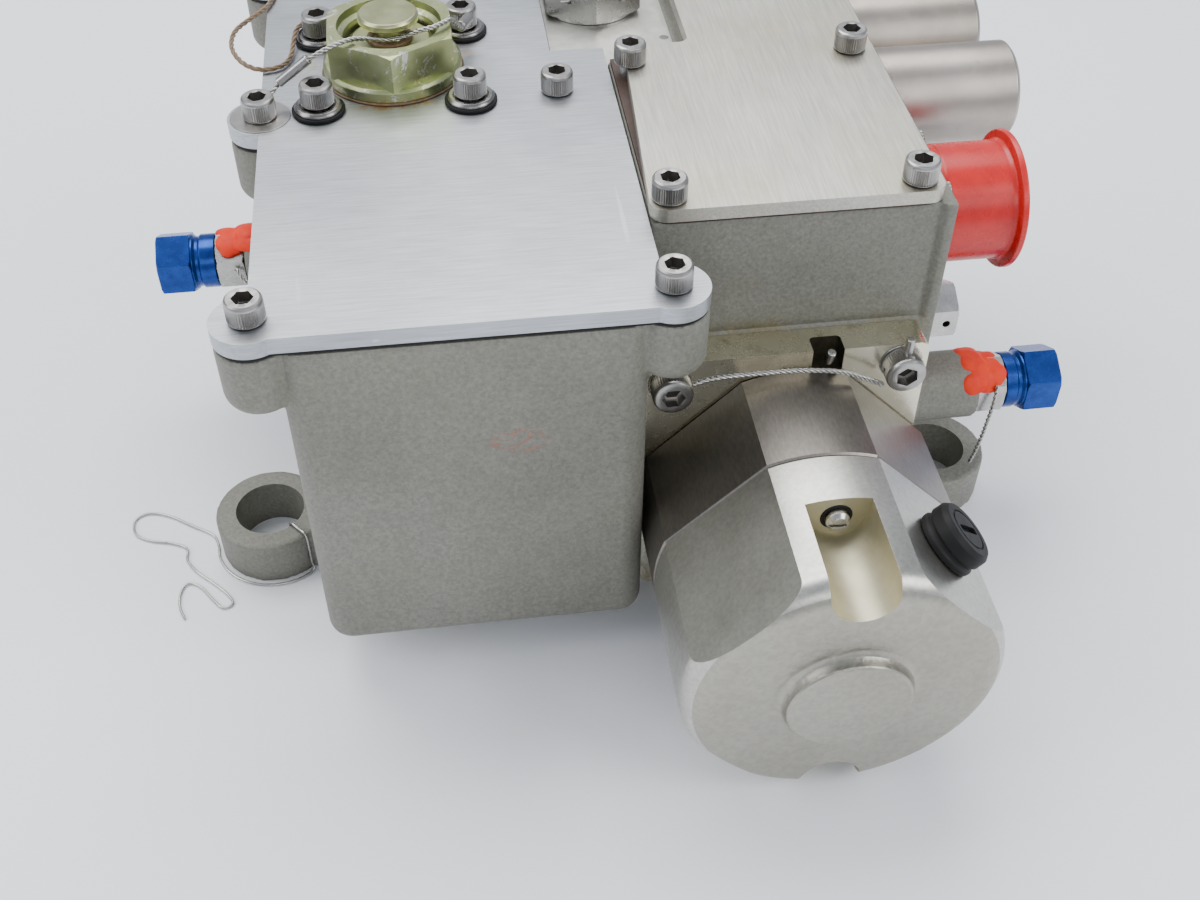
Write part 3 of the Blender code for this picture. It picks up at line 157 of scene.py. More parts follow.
# Wires and cords, with the routes that the CAD model uses.
CABLE_DIAMETER = 1.6
WIRE_DIAMETER = 0.8
WIRE_LOW = 0.6
CORD_DIAMETER = 1.6
LANYARD_ROUTE = (
    (-92.9, 33.5, 137.2), (-89.5, 35.8, 140), (-84.5, 36.2, 143.8), (-79.5, 35.8, 146.8),
    (-75, 36.6, 148.6), (-70.7, 38.6, 149.1), (-67.2, 41.1, 148.3), (-62.3, 43.6, 146.4),
    (-58, 44.5, 145.7), (-53.7, 44.4, 146.6), (-49.4, 43.3, 148.5), (-45.5, 43.5, 149.2),
    (-42.6, 45.6, 149.2), (-40.0, 48.4, 148.6), (-38.0, 52.5, 144.5), (-36.4, 56.5, 141.5),
    (-34.6, 60.5, 140.4),
)
FLANGE_WIRE_ROUTE = (
    (16.2, -50.8, 88.8), (22, -51.2, 90.6), (34, -51.5, 91.2), (46, -51.5, 91), (57, -51.5, 89.4),
    (65, -51.5, 86), (70.6, -51, 82.6),
)
EYE_CORD_ROUTE = (
    (-74, 68.2, 136), (-73.3, 72.4, 136), (-75.8, 76.2, 136), (-80, 77.7, 136), (-84.6, 75.7, 136),
    (-86.8, 71, 136), (-87.6, 65.5, 135), (-88.4, 60, 133.8), (-91, 55, 133.6), (-97, 53.5, 133.6),
    (-102.5, 57.5, 134), (-106, 66, 134.5), (-105.5, 76, 134.5), (-101, 85, 134), (-96.5, 93, 133.6),
    (-94.5, 102, 133.6), (-95.5, 109.5, 133.7),
)
PORT_WIRE_ROUTES = {
    "right": (
        (121, -21.6, 50), (120.2, -23.6, 45), (119.3, -24.4, 38), (118.6, -24.6, 31), (117.8, -24.4, 24),
        (117.2, -23.6, 18.5),
    ),
    "left": ((-117, 54.3, 61), (-115, 52.4, 58), (-111, 51.8, 54.6), (-107, 52.5, 51), (-103.6, 55, 48.3)),
}
WIRE_OVER_LUG = (
    (10, 8), (10, 14.8), (10.3, 16.6), (11.6, 17.2), (14, 17), (16.6, 17.2), (18, 16.7), (18.3, 14.5),
    (18.3, 9), (18.3, 4), (18.8, 1.2),
)
WIRE_FOOT_ANGLES = (-62, -76, -90, -105, -120, -135, -150, -165, -180)
WIRE_LOOPS = (
    (-132, -8), (-139, -3), (-147, 2.5), (-154, 4.5), (-158, 1.5), (-157, -4.5), (-152, -8),
    (-145, -10), (-140, -13), (-139.5, -18), (-136, -23.5), (-130.5, -29), (-126, -34), (-124, -38),
    (-127, -39.5), (-130.5, -35.5), (-134.5, -30), (-138.5, -28), (-140.5, -31.5), (-140.5, -37),
    (-138.5, -42.5),
)


# ------------------------------------------------------------- camera, light


def link(name, data):
    """A new object in the scene."""
    item = bpy.data.objects.new(name, data)
    bpy.context.scene.collection.objects.link(item)
    return item


def add_camera():
    data = bpy.data.cameras.new("camera")
    data.lens = CAMERA_LENS
    data.sensor_width = 36
    camera = link("camera", data)
    turn = Matrix.Rotation(math.radians(-CAMERA_YAW), 4, "Z")
    tilt = Matrix.Rotation(math.radians(90 - CAMERA_TILT), 4, "X")
    roll = Matrix.Rotation(math.radians(CAMERA_ROLL), 4, "Z")
    camera.matrix_world = Matrix.Translation(Vector(CAMERA_AT) * MM) @ turn @ tilt @ roll
    bpy.context.scene.camera = camera


def add_area(name, at, target, size, power, colour=(1, 1, 1)):
    data = bpy.data.lights.new(name, "AREA")
    data.shape = "RECTANGLE"
    data.size, data.size_y = size
    data.energy = power
    data.color = colour
    light = link(name, data)
    light.location = at
    light.rotation_mode = "QUATERNION"
    light.rotation_quaternion = (Vector(target) - Vector(at)).to_track_quat("-Z", "Y")


def add_studio():
    world = bpy.data.worlds.new("studio")
    world.use_nodes = True
    background = world.node_tree.nodes["Background"]
    background.inputs["Color"].default_value = (0.80, 0.87, 1.0, 1)
    background.inputs["Strength"].default_value = 0.60
    bpy.context.scene.world = world
    add_area("softbox_top", (-0.1, 0.55, 1.15), (0, 0, 0.05), (1.3, 0.8), 19)
    add_area("softbox_left", (-1.1, -0.1, 0.8), (0, 0, 0.06), (0.7, 0.9), 7)
    add_area("softbox_right", (1.0, -0.6, 0.9), (0, 0, 0.06), (0.7, 0.7), 9)
    add_area("softbox_front", (0.1, -1.3, 0.9), (0, 0, 0.06), (1.2, 0.5), 5)
    mesh = bpy.data.meshes.new("floor")
    mesh.from_pydata([(-3, -3, 0), (3, -3, 0), (3, 3, 0), (-3, 3, 0)], [], [(0, 1, 2, 3)])
    floor = link("floor", mesh)
    look = Look("floor_paper", 0.0, 0.55)
    fine = look.noise(60, 4)
    look.colour(look.tint(fine, (0.93, 0.945, 0.98), (0.95, 0.96, 0.99)))
    floor.data.materials.append(look.material)


# ------------------------------------------------------------------ materials


class Look:
    """A procedural material: a Principled shader with short calls for the nodes that feed it."""

    def __init__(self, name, metallic, roughness):
        self.material = bpy.data.materials.new(name)
        self.material.use_nodes = True
        self.tree = self.material.node_tree
        self.shader = self.tree.nodes["Principled BSDF"]
        self.set("Metallic", metallic)
        self.set("Roughness", roughness)
        self.place = self.add("ShaderNodeTexCoord").outputs["Object"]
        self.height = None

    def add(self, kind):
        return self.tree.nodes.new(kind)

    def join(self, out, into):
        self.tree.links.new(out, into)

    def set(self, name, value):
        self.shader.inputs[name].default_value = value

    def mapped(self, stretch, turn=(0, 0, 0)):
        node = self.add("ShaderNodeMapping")
        node.inputs["Scale"].default_value = stretch
        node.inputs["Rotation"].default_value = [math.radians(a) for a in turn]
        self.join(self.place, node.inputs["Vector"])
        return node.outputs["Vector"]

    def noise(self, scale, detail=4, rough=0.5, stretch=(1, 1, 1), turn=(0, 0, 0), warp=0.0):
        """Noise with about this many features in 100 mm."""
        node = self.add("ShaderNodeTexNoise")
        node.inputs["Scale"].default_value = scale * 10
        node.inputs["Detail"].default_value = detail
        node.inputs["Roughness"].default_value = rough
        node.inputs["Distortion"].default_value = warp
        self.join(self.mapped(stretch, turn), node.inputs["Vector"])
        return node.outputs["Fac"]

    def spot(self, centre, reach):
        """1 at a point in the frame, falling to 0 at this reach in millimetres on each axis."""
        node = self.add("ShaderNodeMapping")
        node.vector_type = "POINT"
        size = [1 / (r * MM) for r in reach]
        node.inputs["Scale"].default_value = size
        node.inputs["Location"].default_value = [-c * MM * s for c, s in zip(centre, size)]
        self.join(self.place, node.inputs["Vector"])
        ball = self.add("ShaderNodeTexGradient")
        ball.gradient_type = "SPHERICAL"
        self.join(node.outputs["Vector"], ball.inputs["Vector"])
        return ball.outputs["Fac"]

    def ramp(self, fac, stops):
        node = self.add("ShaderNodeValToRGB")
        points = node.color_ramp.elements
        while len(points) < len(stops):
            points.new(0.5)
        for point, (at, value) in zip(points, stops):
            point.position = at
            shade = value if isinstance(value, tuple) else (value, value, value)
            point.color = (*shade, 1)
        self.join(fac, node.inputs["Fac"])
        return node.outputs["Color"]

    def tint(self, fac, dark, light):
        return self.ramp(fac, ((0.3, dark), (0.7, light)))

    def mask(self, fac, low, high):
        """0 up to low, 1 from high on."""
        return self.ramp(fac, ((low, 0.0), (high, 1.0)))

    def mix(self, fac, first, second, blend="MIX"):
        """Second over first where fac is 1; each is a socket or a plain colour."""
        node = self.add("ShaderNodeMix")
        node.data_type = "RGBA"
        node.blend_type = blend
        if isinstance(fac, float):
            node.inputs["Factor"].default_value = fac
        else:
            self.join(fac, node.inputs["Factor"])
        for slot, value in (("A", first), ("B", second)):
            socket = next(s for s in node.inputs if s.name == slot and s.type == "RGBA")
            if isinstance(value, tuple):
                socket.default_value = (*value, 1)
            else:
                self.join(value, socket)
        return next(s for s in node.outputs if s.type == "RGBA")

    def overlay(self, fac, tone, source, low, high):
        """Darken and lighten the tone with ramped noise: stops are (place, grey)."""
        return self.mix(fac, tone, self.ramp(source, (low, high)), "OVERLAY")

    def times(self, first, second):
        node = self.add("ShaderNodeMath")
        node.operation = "MULTIPLY"
        for socket, value in zip(node.inputs, (first, second)):
            if isinstance(value, (int, float)):
                socket.default_value = value
            else:
                self.join(value, socket)
        return node.outputs["Value"]

    def colour(self, source):
        self.join(source, self.shader.inputs["Base Color"])

    def rough(self, source, low, high):
        node = self.add("ShaderNodeMapRange")
        node.inputs["To Min"].default_value = low
        node.inputs["To Max"].default_value = high
        self.join(source, node.inputs["Value"])
        self.join(node.outputs["Result"], self.shader.inputs["Roughness"])

    def bump(self, source, depth, strength=1.0):
        """Add relief of this depth in millimetres, on top of any relief already there."""
        node = self.add("ShaderNodeBump")
        node.inputs["Distance"].default_value = depth * MM
        node.inputs["Strength"].default_value = strength
        self.join(source, node.inputs["Height"])
        if self.height:
            self.join(self.height, node.inputs["Normal"])
        self.height = node.outputs["Normal"]
        self.join(self.height, self.shader.inputs["Normal"])


def brushed(name, light, dark, along, rough=(0.34, 0.5), relief=0.02):
    """Machined plate: fine lines along an axis, cloudy tone and a few scratches."""
    stretch = {"X": (0.04, 1, 1), "Y": (1, 0.04, 1), "Z": (1, 1, 0.04)}[along]
    look = Look(name, 1.0, 0.4)
    lines = look.noise(160, 3, 0.6, stretch)
    cloud = look.noise(1.6, 5, 0.6)
    tone = look.tint(cloud, dark, light)
    tone = look.overlay(0.22, tone, lines, (0.3, 0.25), (0.7, 0.95))
    scratch = look.ramp(look.noise(22, 2, 0.5, (1, 0.05, 1), (0, 0, 37)), ((0.70, 0.0), (0.74, 1.0)))
    tone = look.mix(look.times(scratch, 0.25), tone, (0.86, 0.87, 0.88))
    look.colour(tone)
    look.rough(look.noise(5, 5, 0.65), *rough)
    look.bump(lines, relief, 0.5)
    return look


def cover_look():
    """Brushed plate with a brown stain round the filler and a rusty drip."""
    look = brushed("reservoir_plate", (0.46, 0.475, 0.495), (0.36, 0.373, 0.39), "X")
    tone = look.shader.inputs["Base Color"].links[0].from_socket
    ring = look.spot((*FILLER, 132.5), (30, 27, 30))
    patches = look.mask(look.noise(7, 6, 0.7, warp=1.2), 0.52, 0.62)
    stain = look.times(look.mask(ring, 0.0, 0.2), patches)
    tone = look.mix(look.times(stain, 0.55), tone, (0.40, 0.33, 0.20))
    drip = look.spot((-58, 30.5, 132.5), (15, 3.2, 10))
    grain = look.mask(look.noise(30, 5, 0.7), 0.42, 0.55)
    rust = look.times(look.mask(drip, 0.1, 0.5), grain)
    look.colour(look.mix(look.times(rust, 0.8), tone, (0.45, 0.24, 0.07)))
    return look.material


def lid_look():
    """Warmer brushed plate with three yellowed patches."""
    look = brushed("manifold_plate", (0.55, 0.53, 0.475), (0.43, 0.415, 0.37), "Y", (0.36, 0.52))
    tone = look.shader.inputs["Base Color"].links[0].from_socket
    stains = (((20, -28, 137), (26, 14, 10)), ((74, -20, 137), (18, 26, 10)), ((60, 48, 137), (34, 22, 10)))
    for centre, reach in stains:
        mask = look.times(
            look.mask(look.spot(centre, reach), 0.0, 0.5),
            look.mask(look.noise(6, 6, 0.7, warp=0.8), 0.42, 0.62),
        )
        tone = look.mix(look.times(mask, 0.45), tone, (0.50, 0.44, 0.27))
    look.colour(tone)
    return look.material


def casting_look():
    """Old cast aluminium: warm grey-green with fine speckle and faint large patches."""
    look = Look("casting", 0.35, 0.62)
    large = look.noise(1.3, 5, 0.6)
    speckle = look.noise(95, 3, 0.75)
    grain = look.noise(160, 2, 0.6)
    tone = look.tint(large, (0.175, 0.172, 0.143), (0.240, 0.236, 0.203))
    joint = look.spot((45, -37, 91), (48, 8, 7))
    oil = look.times(look.mask(joint, 0.0, 0.5), look.mask(look.noise(8, 5, 0.7), 0.4, 0.6))
    tone = look.mix(look.times(oil, 0.5), tone, (0.21, 0.17, 0.06))
    tone = look.overlay(0.42, tone, speckle, (0.32, 0.24), (0.68, 0.78))
    low = look.mask(look.noise(3, 5, 0.7), 0.52, 0.78)
    tone = look.mix(look.times(low, 0.3), tone, (0.19, 0.175, 0.11))
    scuff = look.spot((-33, -70, 92), (9, 30, 5))
    lines = look.noise(9, 3, 0.6, (1, 1, 2.6), (0, 35, 0), 1.4)
    scratch = look.ramp(lines, ((0.46, 0.0), (0.5, 1.0), (0.54, 0.0)))
    mark = look.times(look.mask(scuff, 0.0, 0.3), scratch)
    tone = look.mix(look.times(mark, 0.75), tone, (0.36, 0.11, 0.06))
    look.colour(tone)
    look.rough(speckle, 0.5, 0.7)
    look.bump(grain, 0.10, 0.7)
    look.bump(speckle, 0.10, 0.5)
    return look.material


def bell_look():
    """Pale machined aluminium with a satin face."""
    look = Look("end_bell", 1.0, 0.4)
    cloud = look.noise(2.4, 6, 0.6)
    fine = look.noise(75, 3, 0.65)
    tone = look.tint(cloud, (0.43, 0.42, 0.38), (0.55, 0.54, 0.495))
    tone = look.overlay(0.25, tone, fine, (0.3, 0.3), (0.7, 0.8))
    look.colour(tone)
    look.rough(look.noise(9, 5, 0.6), 0.29, 0.42)
    look.bump(fine, 0.03, 0.5)
    return look.material


def bell_face_look():
    """The end bell's cast front: orange-peel relief."""
    look = Look("end_bell_face", 1.0, 0.42)
    peel = look.noise(62, 2, 0.45, warp=0.3)
    cloud = look.noise(2.0, 5, 0.6)
    tone = look.tint(cloud, (0.325, 0.308, 0.262), (0.405, 0.388, 0.338))
    look.colour(look.overlay(0.16, tone, peel, (0.35, 0.35), (0.65, 0.75)))
    look.rough(peel, 0.34, 0.46)
    look.bump(peel, 0.22, 0.6)
    look.bump(look.noise(150, 2), 0.03, 0.5)
    return look.material


def dark_steel_look():
    """The motor's dark turned steel."""
    look = Look("motor_steel", 1.0, 0.36)
    lines = look.noise(150, 3, 0.6, (1, 0.3, 1))
    cloud = look.noise(1.8, 6, 0.65)
    tone = look.tint(cloud, (0.185, 0.168, 0.150), (0.265, 0.245, 0.222))
    look.colour(look.overlay(0.25, tone, lines, (0.3, 0.3), (0.7, 0.8)))
    look.rough(look.noise(12, 5, 0.65), 0.32, 0.44)
    look.bump(lines, 0.012, 0.4)
    return look.material


def flange_look():
    """Bright plated plate, light gold, with brown oil varnish in patches."""
    look = Look("flange_plate", 1.0, 0.25)
    cloud = look.noise(3.0, 5, 0.6)
    tone = look.tint(cloud, (0.72, 0.68, 0.50), (0.90, 0.87, 0.72))
    varnish = look.mask(look.noise(7, 6, 0.7, warp=1.0), 0.55, 0.68)
    look.colour(look.mix(look.times(varnish, 0.5), tone, (0.25, 0.17, 0.07)))
    look.rough(look.noise(20, 4, 0.6), 0.16, 0.36)
    look.bump(look.noise(110, 2, 0.5, (0.06, 1, 1)), 0.015, 0.5)
    return look.material


def steel_look(name="stainless", light=(0.62, 0.61, 0.585), dark=(0.40, 0.39, 0.37), rough=(0.2, 0.36)):
    look = Look(name, 1.0, 0.28)
    cloud = look.noise(9, 6, 0.7)
    look.colour(look.tint(cloud, dark, light))
    look.rough(look.noise(30, 4, 0.6), *rough)
    look.bump(look.noise(160, 2), 0.01, 0.4)
    return look.material


def chromate_look():
    """Olive-gold plating, rubbed to bright metal in places."""
    look = Look("chromate", 0.9, 0.35)
    cloud = look.noise(6, 6, 0.65)
    stops = ((0.25, (0.24, 0.27, 0.10)), (0.5, (0.35, 0.385, 0.19)), (0.75, (0.46, 0.475, 0.30)))
    tone = look.ramp(cloud, stops)
    bare = look.mask(look.noise(10, 6, 0.8, warp=1.2), 0.56, 0.60)
    tone = look.mix(look.times(bare, 0.85), tone, (0.72, 0.71, 0.68))
    grime_and_shade = look.mask(look.noise(22, 5, 0.7), 0.6, 0.72)
    look.colour(look.mix(look.times(grime_and_shade, 0.4), tone, (0.20, 0.15, 0.07)))
    look.rough(look.noise(20, 5, 0.65), 0.26, 0.46)
    look.bump(look.noise(60, 4, 0.6), 0.05, 0.5)
    return look.material


def canister_look():
    """Dull tinned steel with faint rust."""
    look = Look("canister", 1.0, 0.36)
    cloud = look.noise(3, 6, 0.62)
    tone = look.tint(cloud, (0.34, 0.30, 0.26), (0.50, 0.455, 0.41))
    rust = look.mask(look.noise(9, 6, 0.75), 0.6, 0.72)
    look.colour(look.mix(look.times(rust, 0.35), tone, (0.26, 0.17, 0.11)))
    look.rough(look.noise(25, 5, 0.6), 0.3, 0.46)
    look.bump(look.noise(85, 3, 0.6), 0.03, 0.5)
    return look.material


def plain_look(name, light, dark, metallic, rough, relief=0.03, scale=20, grain=70, gloss=0.5):
    """A plastic, rubber, paint or anodised finish with slight tone and gloss changes."""
    look = Look(name, metallic, sum(rough) / 2)
    look.colour(look.tint(look.noise(scale, 5, 0.6), dark, light))
    look.rough(look.noise(scale * 1.7, 4, 0.6), *rough)
    look.bump(look.noise(grain, 3), relief, 0.5)
    look.set("Specular IOR Level", gloss)
    return look


def plain(*args, **choices):
    return plain_look(*args, **choices).material


def cord_look():
    """Brown waxed cord: a dull twist with frayed tone."""
    look = plain_look("waxed_cord", (0.26, 0.17, 0.09), (0.10, 0.06, 0.03), 0.0, (0.6, 0.8), 0.12, 60, 160)
    look.set("Sheen Weight", 0.25)
    return look.material


# ------------------------------------------------------------------ mesh code


def built(name, fill):
    """A new object whose mesh is made by fill(bm), in millimetres."""
    bm = bmesh.new()
    fill(bm)
    bmesh.ops.scale(bm, vec=(MM, MM, MM), verts=bm.verts)
    bmesh.ops.recalc_face_normals(bm, faces=bm.faces[:])
    mesh = bpy.data.meshes.new(name)
    bm.to_mesh(mesh)
    bm.free()
    return link(name, mesh)


def put(item, at, axis=UP):
    """Move the mesh so that its origin is at a point and its own Z lies along axis."""
    turn = Vector(axis).to_track_quat("Z", "Y").to_matrix().to_4x4()
    item.data.transform(Matrix.Translation(Vector(at) * MM) @ turn)
    return item


def skin(bm, rings, loop=False):
    """Faces between rings of vertices; a ring of one vertex is a pole."""
    pairs = list(zip(rings, rings[1:]))
    if loop:
        pairs.append((rings[-1], rings[0]))
    for low, high in pairs:
        count = max(len(low), len(high))
        for i in range(count):
            j = (i + 1) % count
            if len(low) == 1:
                bm.faces.new((low[0], high[j], high[i]))
            elif len(high) == 1:
                bm.faces.new((low[i], low[j], high[0]))
            else:
                bm.faces.new((low[i], low[j], high[j], high[i]))


def turned(profile, at=(0, 0, 0), axis=UP, sides=72, loop=False, turn=0.0, ripple=None):
    """A profile of (radius, height) turned round Z. ripple = (count, depth, from, to) flutes it."""

    def fill(bm):
        rings = []
        for radius, height in profile:
            if radius < 1e-4:
                rings.append([bm.verts.new((0, 0, height))])
                continue
            ring = []
            for i in range(sides):
                angle = 2 * math.pi * i / sides + math.radians(turn)
                reach = radius
                if ripple and ripple[2] <= height <= ripple[3]:
                    reach -= ripple[1] * (0.5 - 0.5 * math.cos(ripple[0] * angle)) ** 0.7
                ring.append(bm.verts.new((reach * math.cos(angle), reach * math.sin(angle), height)))
            rings.append(ring)
        skin(bm, rings, loop)

    return put(built("turned", fill), at, axis)


def ring_angles(count):
    return [2 * math.pi * i / count for i in range(count)]


def prism(outline, low, high):
    def fill(bm):
        rings = [[bm.verts.new((x, y, z)) for x, y in outline] for z in (low, high)]
        skin(bm, rings)
        for ring in rings:
            bm.faces.new(ring)

    return built("prism", fill)


def corners(x, y):
    return ((x[0], y[0]), (x[1], y[0]), (x[1], y[1]), (x[0], y[1]))


def block(x, y, z):
    return prism(corners(x, y), *z)


def rod(at, axis, radius, length, sides=64, turn=0.0):
    return turned(disc(radius, 0, length), at, axis, sides, turn=turn)


def rounded(points, radius, steps=5, closed=True):
    """A path with each corner turned into an arc; closed paths round every corner."""
    points = [Vector((*p, 0)).to_2d() for p in points]
    result = []
    last = len(points) - 1
    for i, corner in enumerate(points):
        if not closed and i in (0, last):
            result.append(tuple(corner))
            continue
        before = points[i - 1] - corner
        after = points[(i + 1) % len(points)] - corner
        bend = before.angle(after)
        reach = radius / math.tan(bend / 2)
        reach = min(reach, before.length * 0.49, after.length * 0.49)
        real = reach * math.tan(bend / 2)
        halfway = (before.normalized() + after.normalized()).normalized()
        middle = corner + halfway * (real / math.sin(bend / 2))
        first = corner + before.normalized() * reach - middle
        sweep = math.pi - bend
        if first.x * after.y - first.y * after.x < 0:
            sweep = -sweep
        for k in range(steps + 1):
            angle = sweep * k / steps
            c, s = math.cos(angle), math.sin(angle)
            result.append((middle.x + first.x * c - first.y * s, middle.y + first.x * s + first.y * c))
    return result


def box_outline(x, y, radius, steps=6):
    return rounded(corners(x, y), radius, steps)


def smooth_profile(points, radius, steps=4):
    return rounded(points, radius, steps, closed=False)


def disc(radius, low, high):
    """The profile of a plain cylinder."""
    return ((0, low), (radius, low), (radius, high), (0, high))


def band(inner, outer, low, high):
    """The profile of a plain ring, for turned(..., loop=True)."""
    return corners((inner, outer), (low, high))


def bead(radius, width, height, low, count):
    """The profile of a ring of oval section, for turned(..., loop=True)."""
    return [(radius + width * math.cos(a), low + height * math.sin(a)) for a in ring_angles(count)]


def lathe(profile, bend, *args, **choices):
    """A turned shape whose profile has its corners rounded to this bend."""
    return turned(smooth_profile(profile, bend), *args, **choices)


def combine(item, tool, operation):
    change = item.modifiers.new("combine", "BOOLEAN")
    change.operation = operation
    change.solver = "MANIFOLD"
    change.object = tool
    settle(item)
    bpy.data.objects.remove(tool, do_unlink=True)
    return item


def settle(item):
    """Apply the object's modifiers to its mesh."""
    bpy.context.view_layer.update()
    done = item.evaluated_get(bpy.context.evaluated_depsgraph_get())
    mesh = bpy.data.meshes.new_from_object(done)
    item.modifiers.clear()
    old = item.data
    item.data = mesh
    bpy.data.meshes.remove(old)
    return item


def cut(item, *tools):
    for tool in tools:
        combine(item, tool, "DIFFERENCE")
    return item


def fuse(item, *tools):
    for tool in tools:
        combine(item, tool, "UNION")
    return item


def clean(item, angle=0.6):
    """Merge flat neighbours so that edge rounding runs cleanly."""
    bm = bmesh.new()
    bm.from_mesh(item.data)
    bmesh.ops.remove_doubles(bm, verts=bm.verts, dist=0.004 * MM)
    bmesh.ops.dissolve_limit(bm, angle_limit=math.radians(angle), verts=bm.verts, edges=bm.edges)
    bm.to_mesh(item.data)
    bm.free()
    return item


def soften(item, width, segments=2, angle=32):
    clean(item)
    change = item.modifiers.new("edges", "BEVEL")
    change.width = width * MM
    change.segments = segments
    change.limit_method = "ANGLE"
    change.angle_limit = math.radians(angle)
    change.miter_outer = "MITER_ARC"
    return settle(item)


def cast(item, passes):
    """The rounded edges and hollows of a casting: remesh finely, relax, then thin the flat parts."""
    mesh_step = item.modifiers.new("remesh", "REMESH")
    mesh_step.mode = "VOXEL"
    mesh_step.voxel_size = VOXEL * MM
    relax = item.modifiers.new("relax", "SMOOTH")
    relax.factor = 0.5
    relax.iterations = passes
    thin = item.modifiers.new("thin", "DECIMATE")
    thin.decimate_type = "DISSOLVE"
    thin.angle_limit = math.radians(2.5)
    return settle(item)


def hexagon(radius, low, high, chamfer=0.10, ends=(True, True)):
    """A hex bar from low to high with the corners turned off at its ends."""
    item = prism([(radius * math.cos(a), radius * math.sin(a)) for a in hex_angles()], low, high)
    flat = radius * (1 - chamfer)
    drop = radius * chamfer * 0.6
    wide = radius * 1.05
    profile = [(0, low)]
    profile += [(flat, low), (wide, low + drop * 1.5)] if ends[0] else [(wide, low)]
    profile += [(wide, high - drop * 1.5), (flat, high)] if ends[1] else [(wide, high)]
    profile += [(0, high)]
    return combine(item, turned(profile, sides=96), "INTERSECT")


def hex_angles():
    return [math.radians(30 + 60 * i) for i in range(6)]


def merge(*items):
    """One object that holds every item's mesh, overlaps and all."""
    bm = bmesh.new()
    for item in items:
        bm.from_mesh(item.data)
    first = items[0]
    bm.to_mesh(first.data)
    bm.free()
    for item in items[1:]:
        bpy.data.objects.remove(item, do_unlink=True)
    return first


def smooth_route(corners, spacing):
    """Points along a smooth curve through the corners, about spacing apart, in millimetres."""
    line = [Vector(c) for c in corners]
    line = [line[0] * 2 - line[1], *line, line[-1] * 2 - line[-2]]
    points = []
    for before, start, end, after in zip(line, line[1:], line[2:], line[3:]):
        steps = max(1, round((end - start).length / spacing))
        for i in range(steps):
            t = i / steps
            square = 2 * before - 5 * start + 4 * end - after
            cube = 3 * start - before - 3 * end + after
            points.append(0.5 * (2 * start + (end - before) * t + square * t**2 + cube * t**3))
    return [*points, line[-2]]


def route_frames(points):
    """A (point, side, up) frame at each point, turned as little as possible along the way."""
    frames = []
    side = None
    for i, point in enumerate(points):
        ahead = (points[min(i + 1, len(points) - 1)] - points[max(i - 1, 0)]).normalized()
        if side is None:
            side = ahead.orthogonal().normalized()
        side = (side - ahead * side.dot(ahead)).normalized()
        frames.append((point, side.copy(), ahead.cross(side)))
    return frames


def tube(bm, centres, radius, sides=8):
    rings = []
    for point, side, up in route_frames(centres):
        ring = []
        for i in range(sides):
            angle = 2 * math.pi * i / sides
            ring.append(bm.verts.new(point + side * radius * math.cos(angle) + up * radius * math.sin(angle)))
        rings.append(ring)
    skin(bm, rings)
    bm.faces.new(rings[0])
    bm.faces.new(rings[-1])


def strand(points, count, offset, pitch, phase=0.0):
    """One strand of a twist of count strands along the points."""
    travelled = 0.0
    line = []
    previous = points[0]
    for point, side, up in route_frames(points):
        travelled += (point - previous).length
        previous = point
        angle = 2 * math.pi * (travelled / pitch + phase / count)
        line.append(point + side * offset * math.cos(angle) + up * offset * math.sin(angle))
    return line


def twisted(corners, diameter, strands, pitch, spacing=0.7, sides=8):
    """Strands twisted to this overall diameter along a route."""
    points = smooth_route(corners, spacing)
    ratio = {1: 0.0, 2: 1.0, 3: 1.155}[strands]
    radius = diameter / 2 / (1 + ratio)

    def fill(bm):
        for k in range(strands):
            tube(bm, strand(points, strands, radius * ratio, pitch, k), radius, sides)

    return built("twisted", fill)


def finish(item, name, look, body=HOUSING, nodes=(), smooth=40, edge=0.0):
    """Name a piece, give it its look, attach it to the body it moves with and hide the CAD nodes that it
    stands for.
    """
    if edge:
        soften(item, edge)
    item.name = name
    item.data.name = name
    item.data.materials.clear()
    item.data.materials.append(look)
    item.data.shade_smooth()
    item.data.set_sharp_from_angle(angle=math.radians(smooth))
    weigh = item.modifiers.new("face weights", "WEIGHTED_NORMAL")
    weigh.keep_sharp = True
    weigh.weight = 100
    settle(item)
    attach(item, body)
    if nodes:
        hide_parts(*nodes)
    return item


# ------------------------------------------------------------------ reservoir


def ear_boss(x, y):
    low = TANK_Z[1] - 15
    bulge = [(0, low - EAR_RADIUS * 0.6)]
    for step in range(1, 7):
        angle = math.radians(90 * step / 6)
        bulge.append((EAR_RADIUS * math.sin(angle), low - EAR_RADIUS * 0.6 * math.cos(angle)))
    bulge += [(EAR_RADIUS, TANK_Z[1]), (0, TANK_Z[1])]
    return turned(bulge, (x, y, 0))


def lug(centre, root, along_x):
    """A ring on the floor with a waisted arm and a rib, up to the wall at root."""
    outward = centre[0] - root if along_x else centre[1] - root
    sign = math.copysign(1, outward)
    reach = abs(outward)
    side = ((-2, 15.5), (3, 14.2), (8, 12.6), (reach, 12))
    arm = [(u, -v) for u, v in side] + list(reversed(side))
    rib = [(-2, -12), (7, -10), (7, 10), (-2, 12)]

    def lay(points):
        if along_x:
            return [(root + sign * u, centre[1] + v) for u, v in points]
        return [(centre[0] + v, root + sign * u) for u, v in points]

    ring = rod((*centre, 0), UP, LUG_RADIUS, LUG_TOP)
    fuse(ring, prism(lay(arm), 0.6, LUG_TOP - 1.2), prism(lay(rib), 1, 24))
    return ring


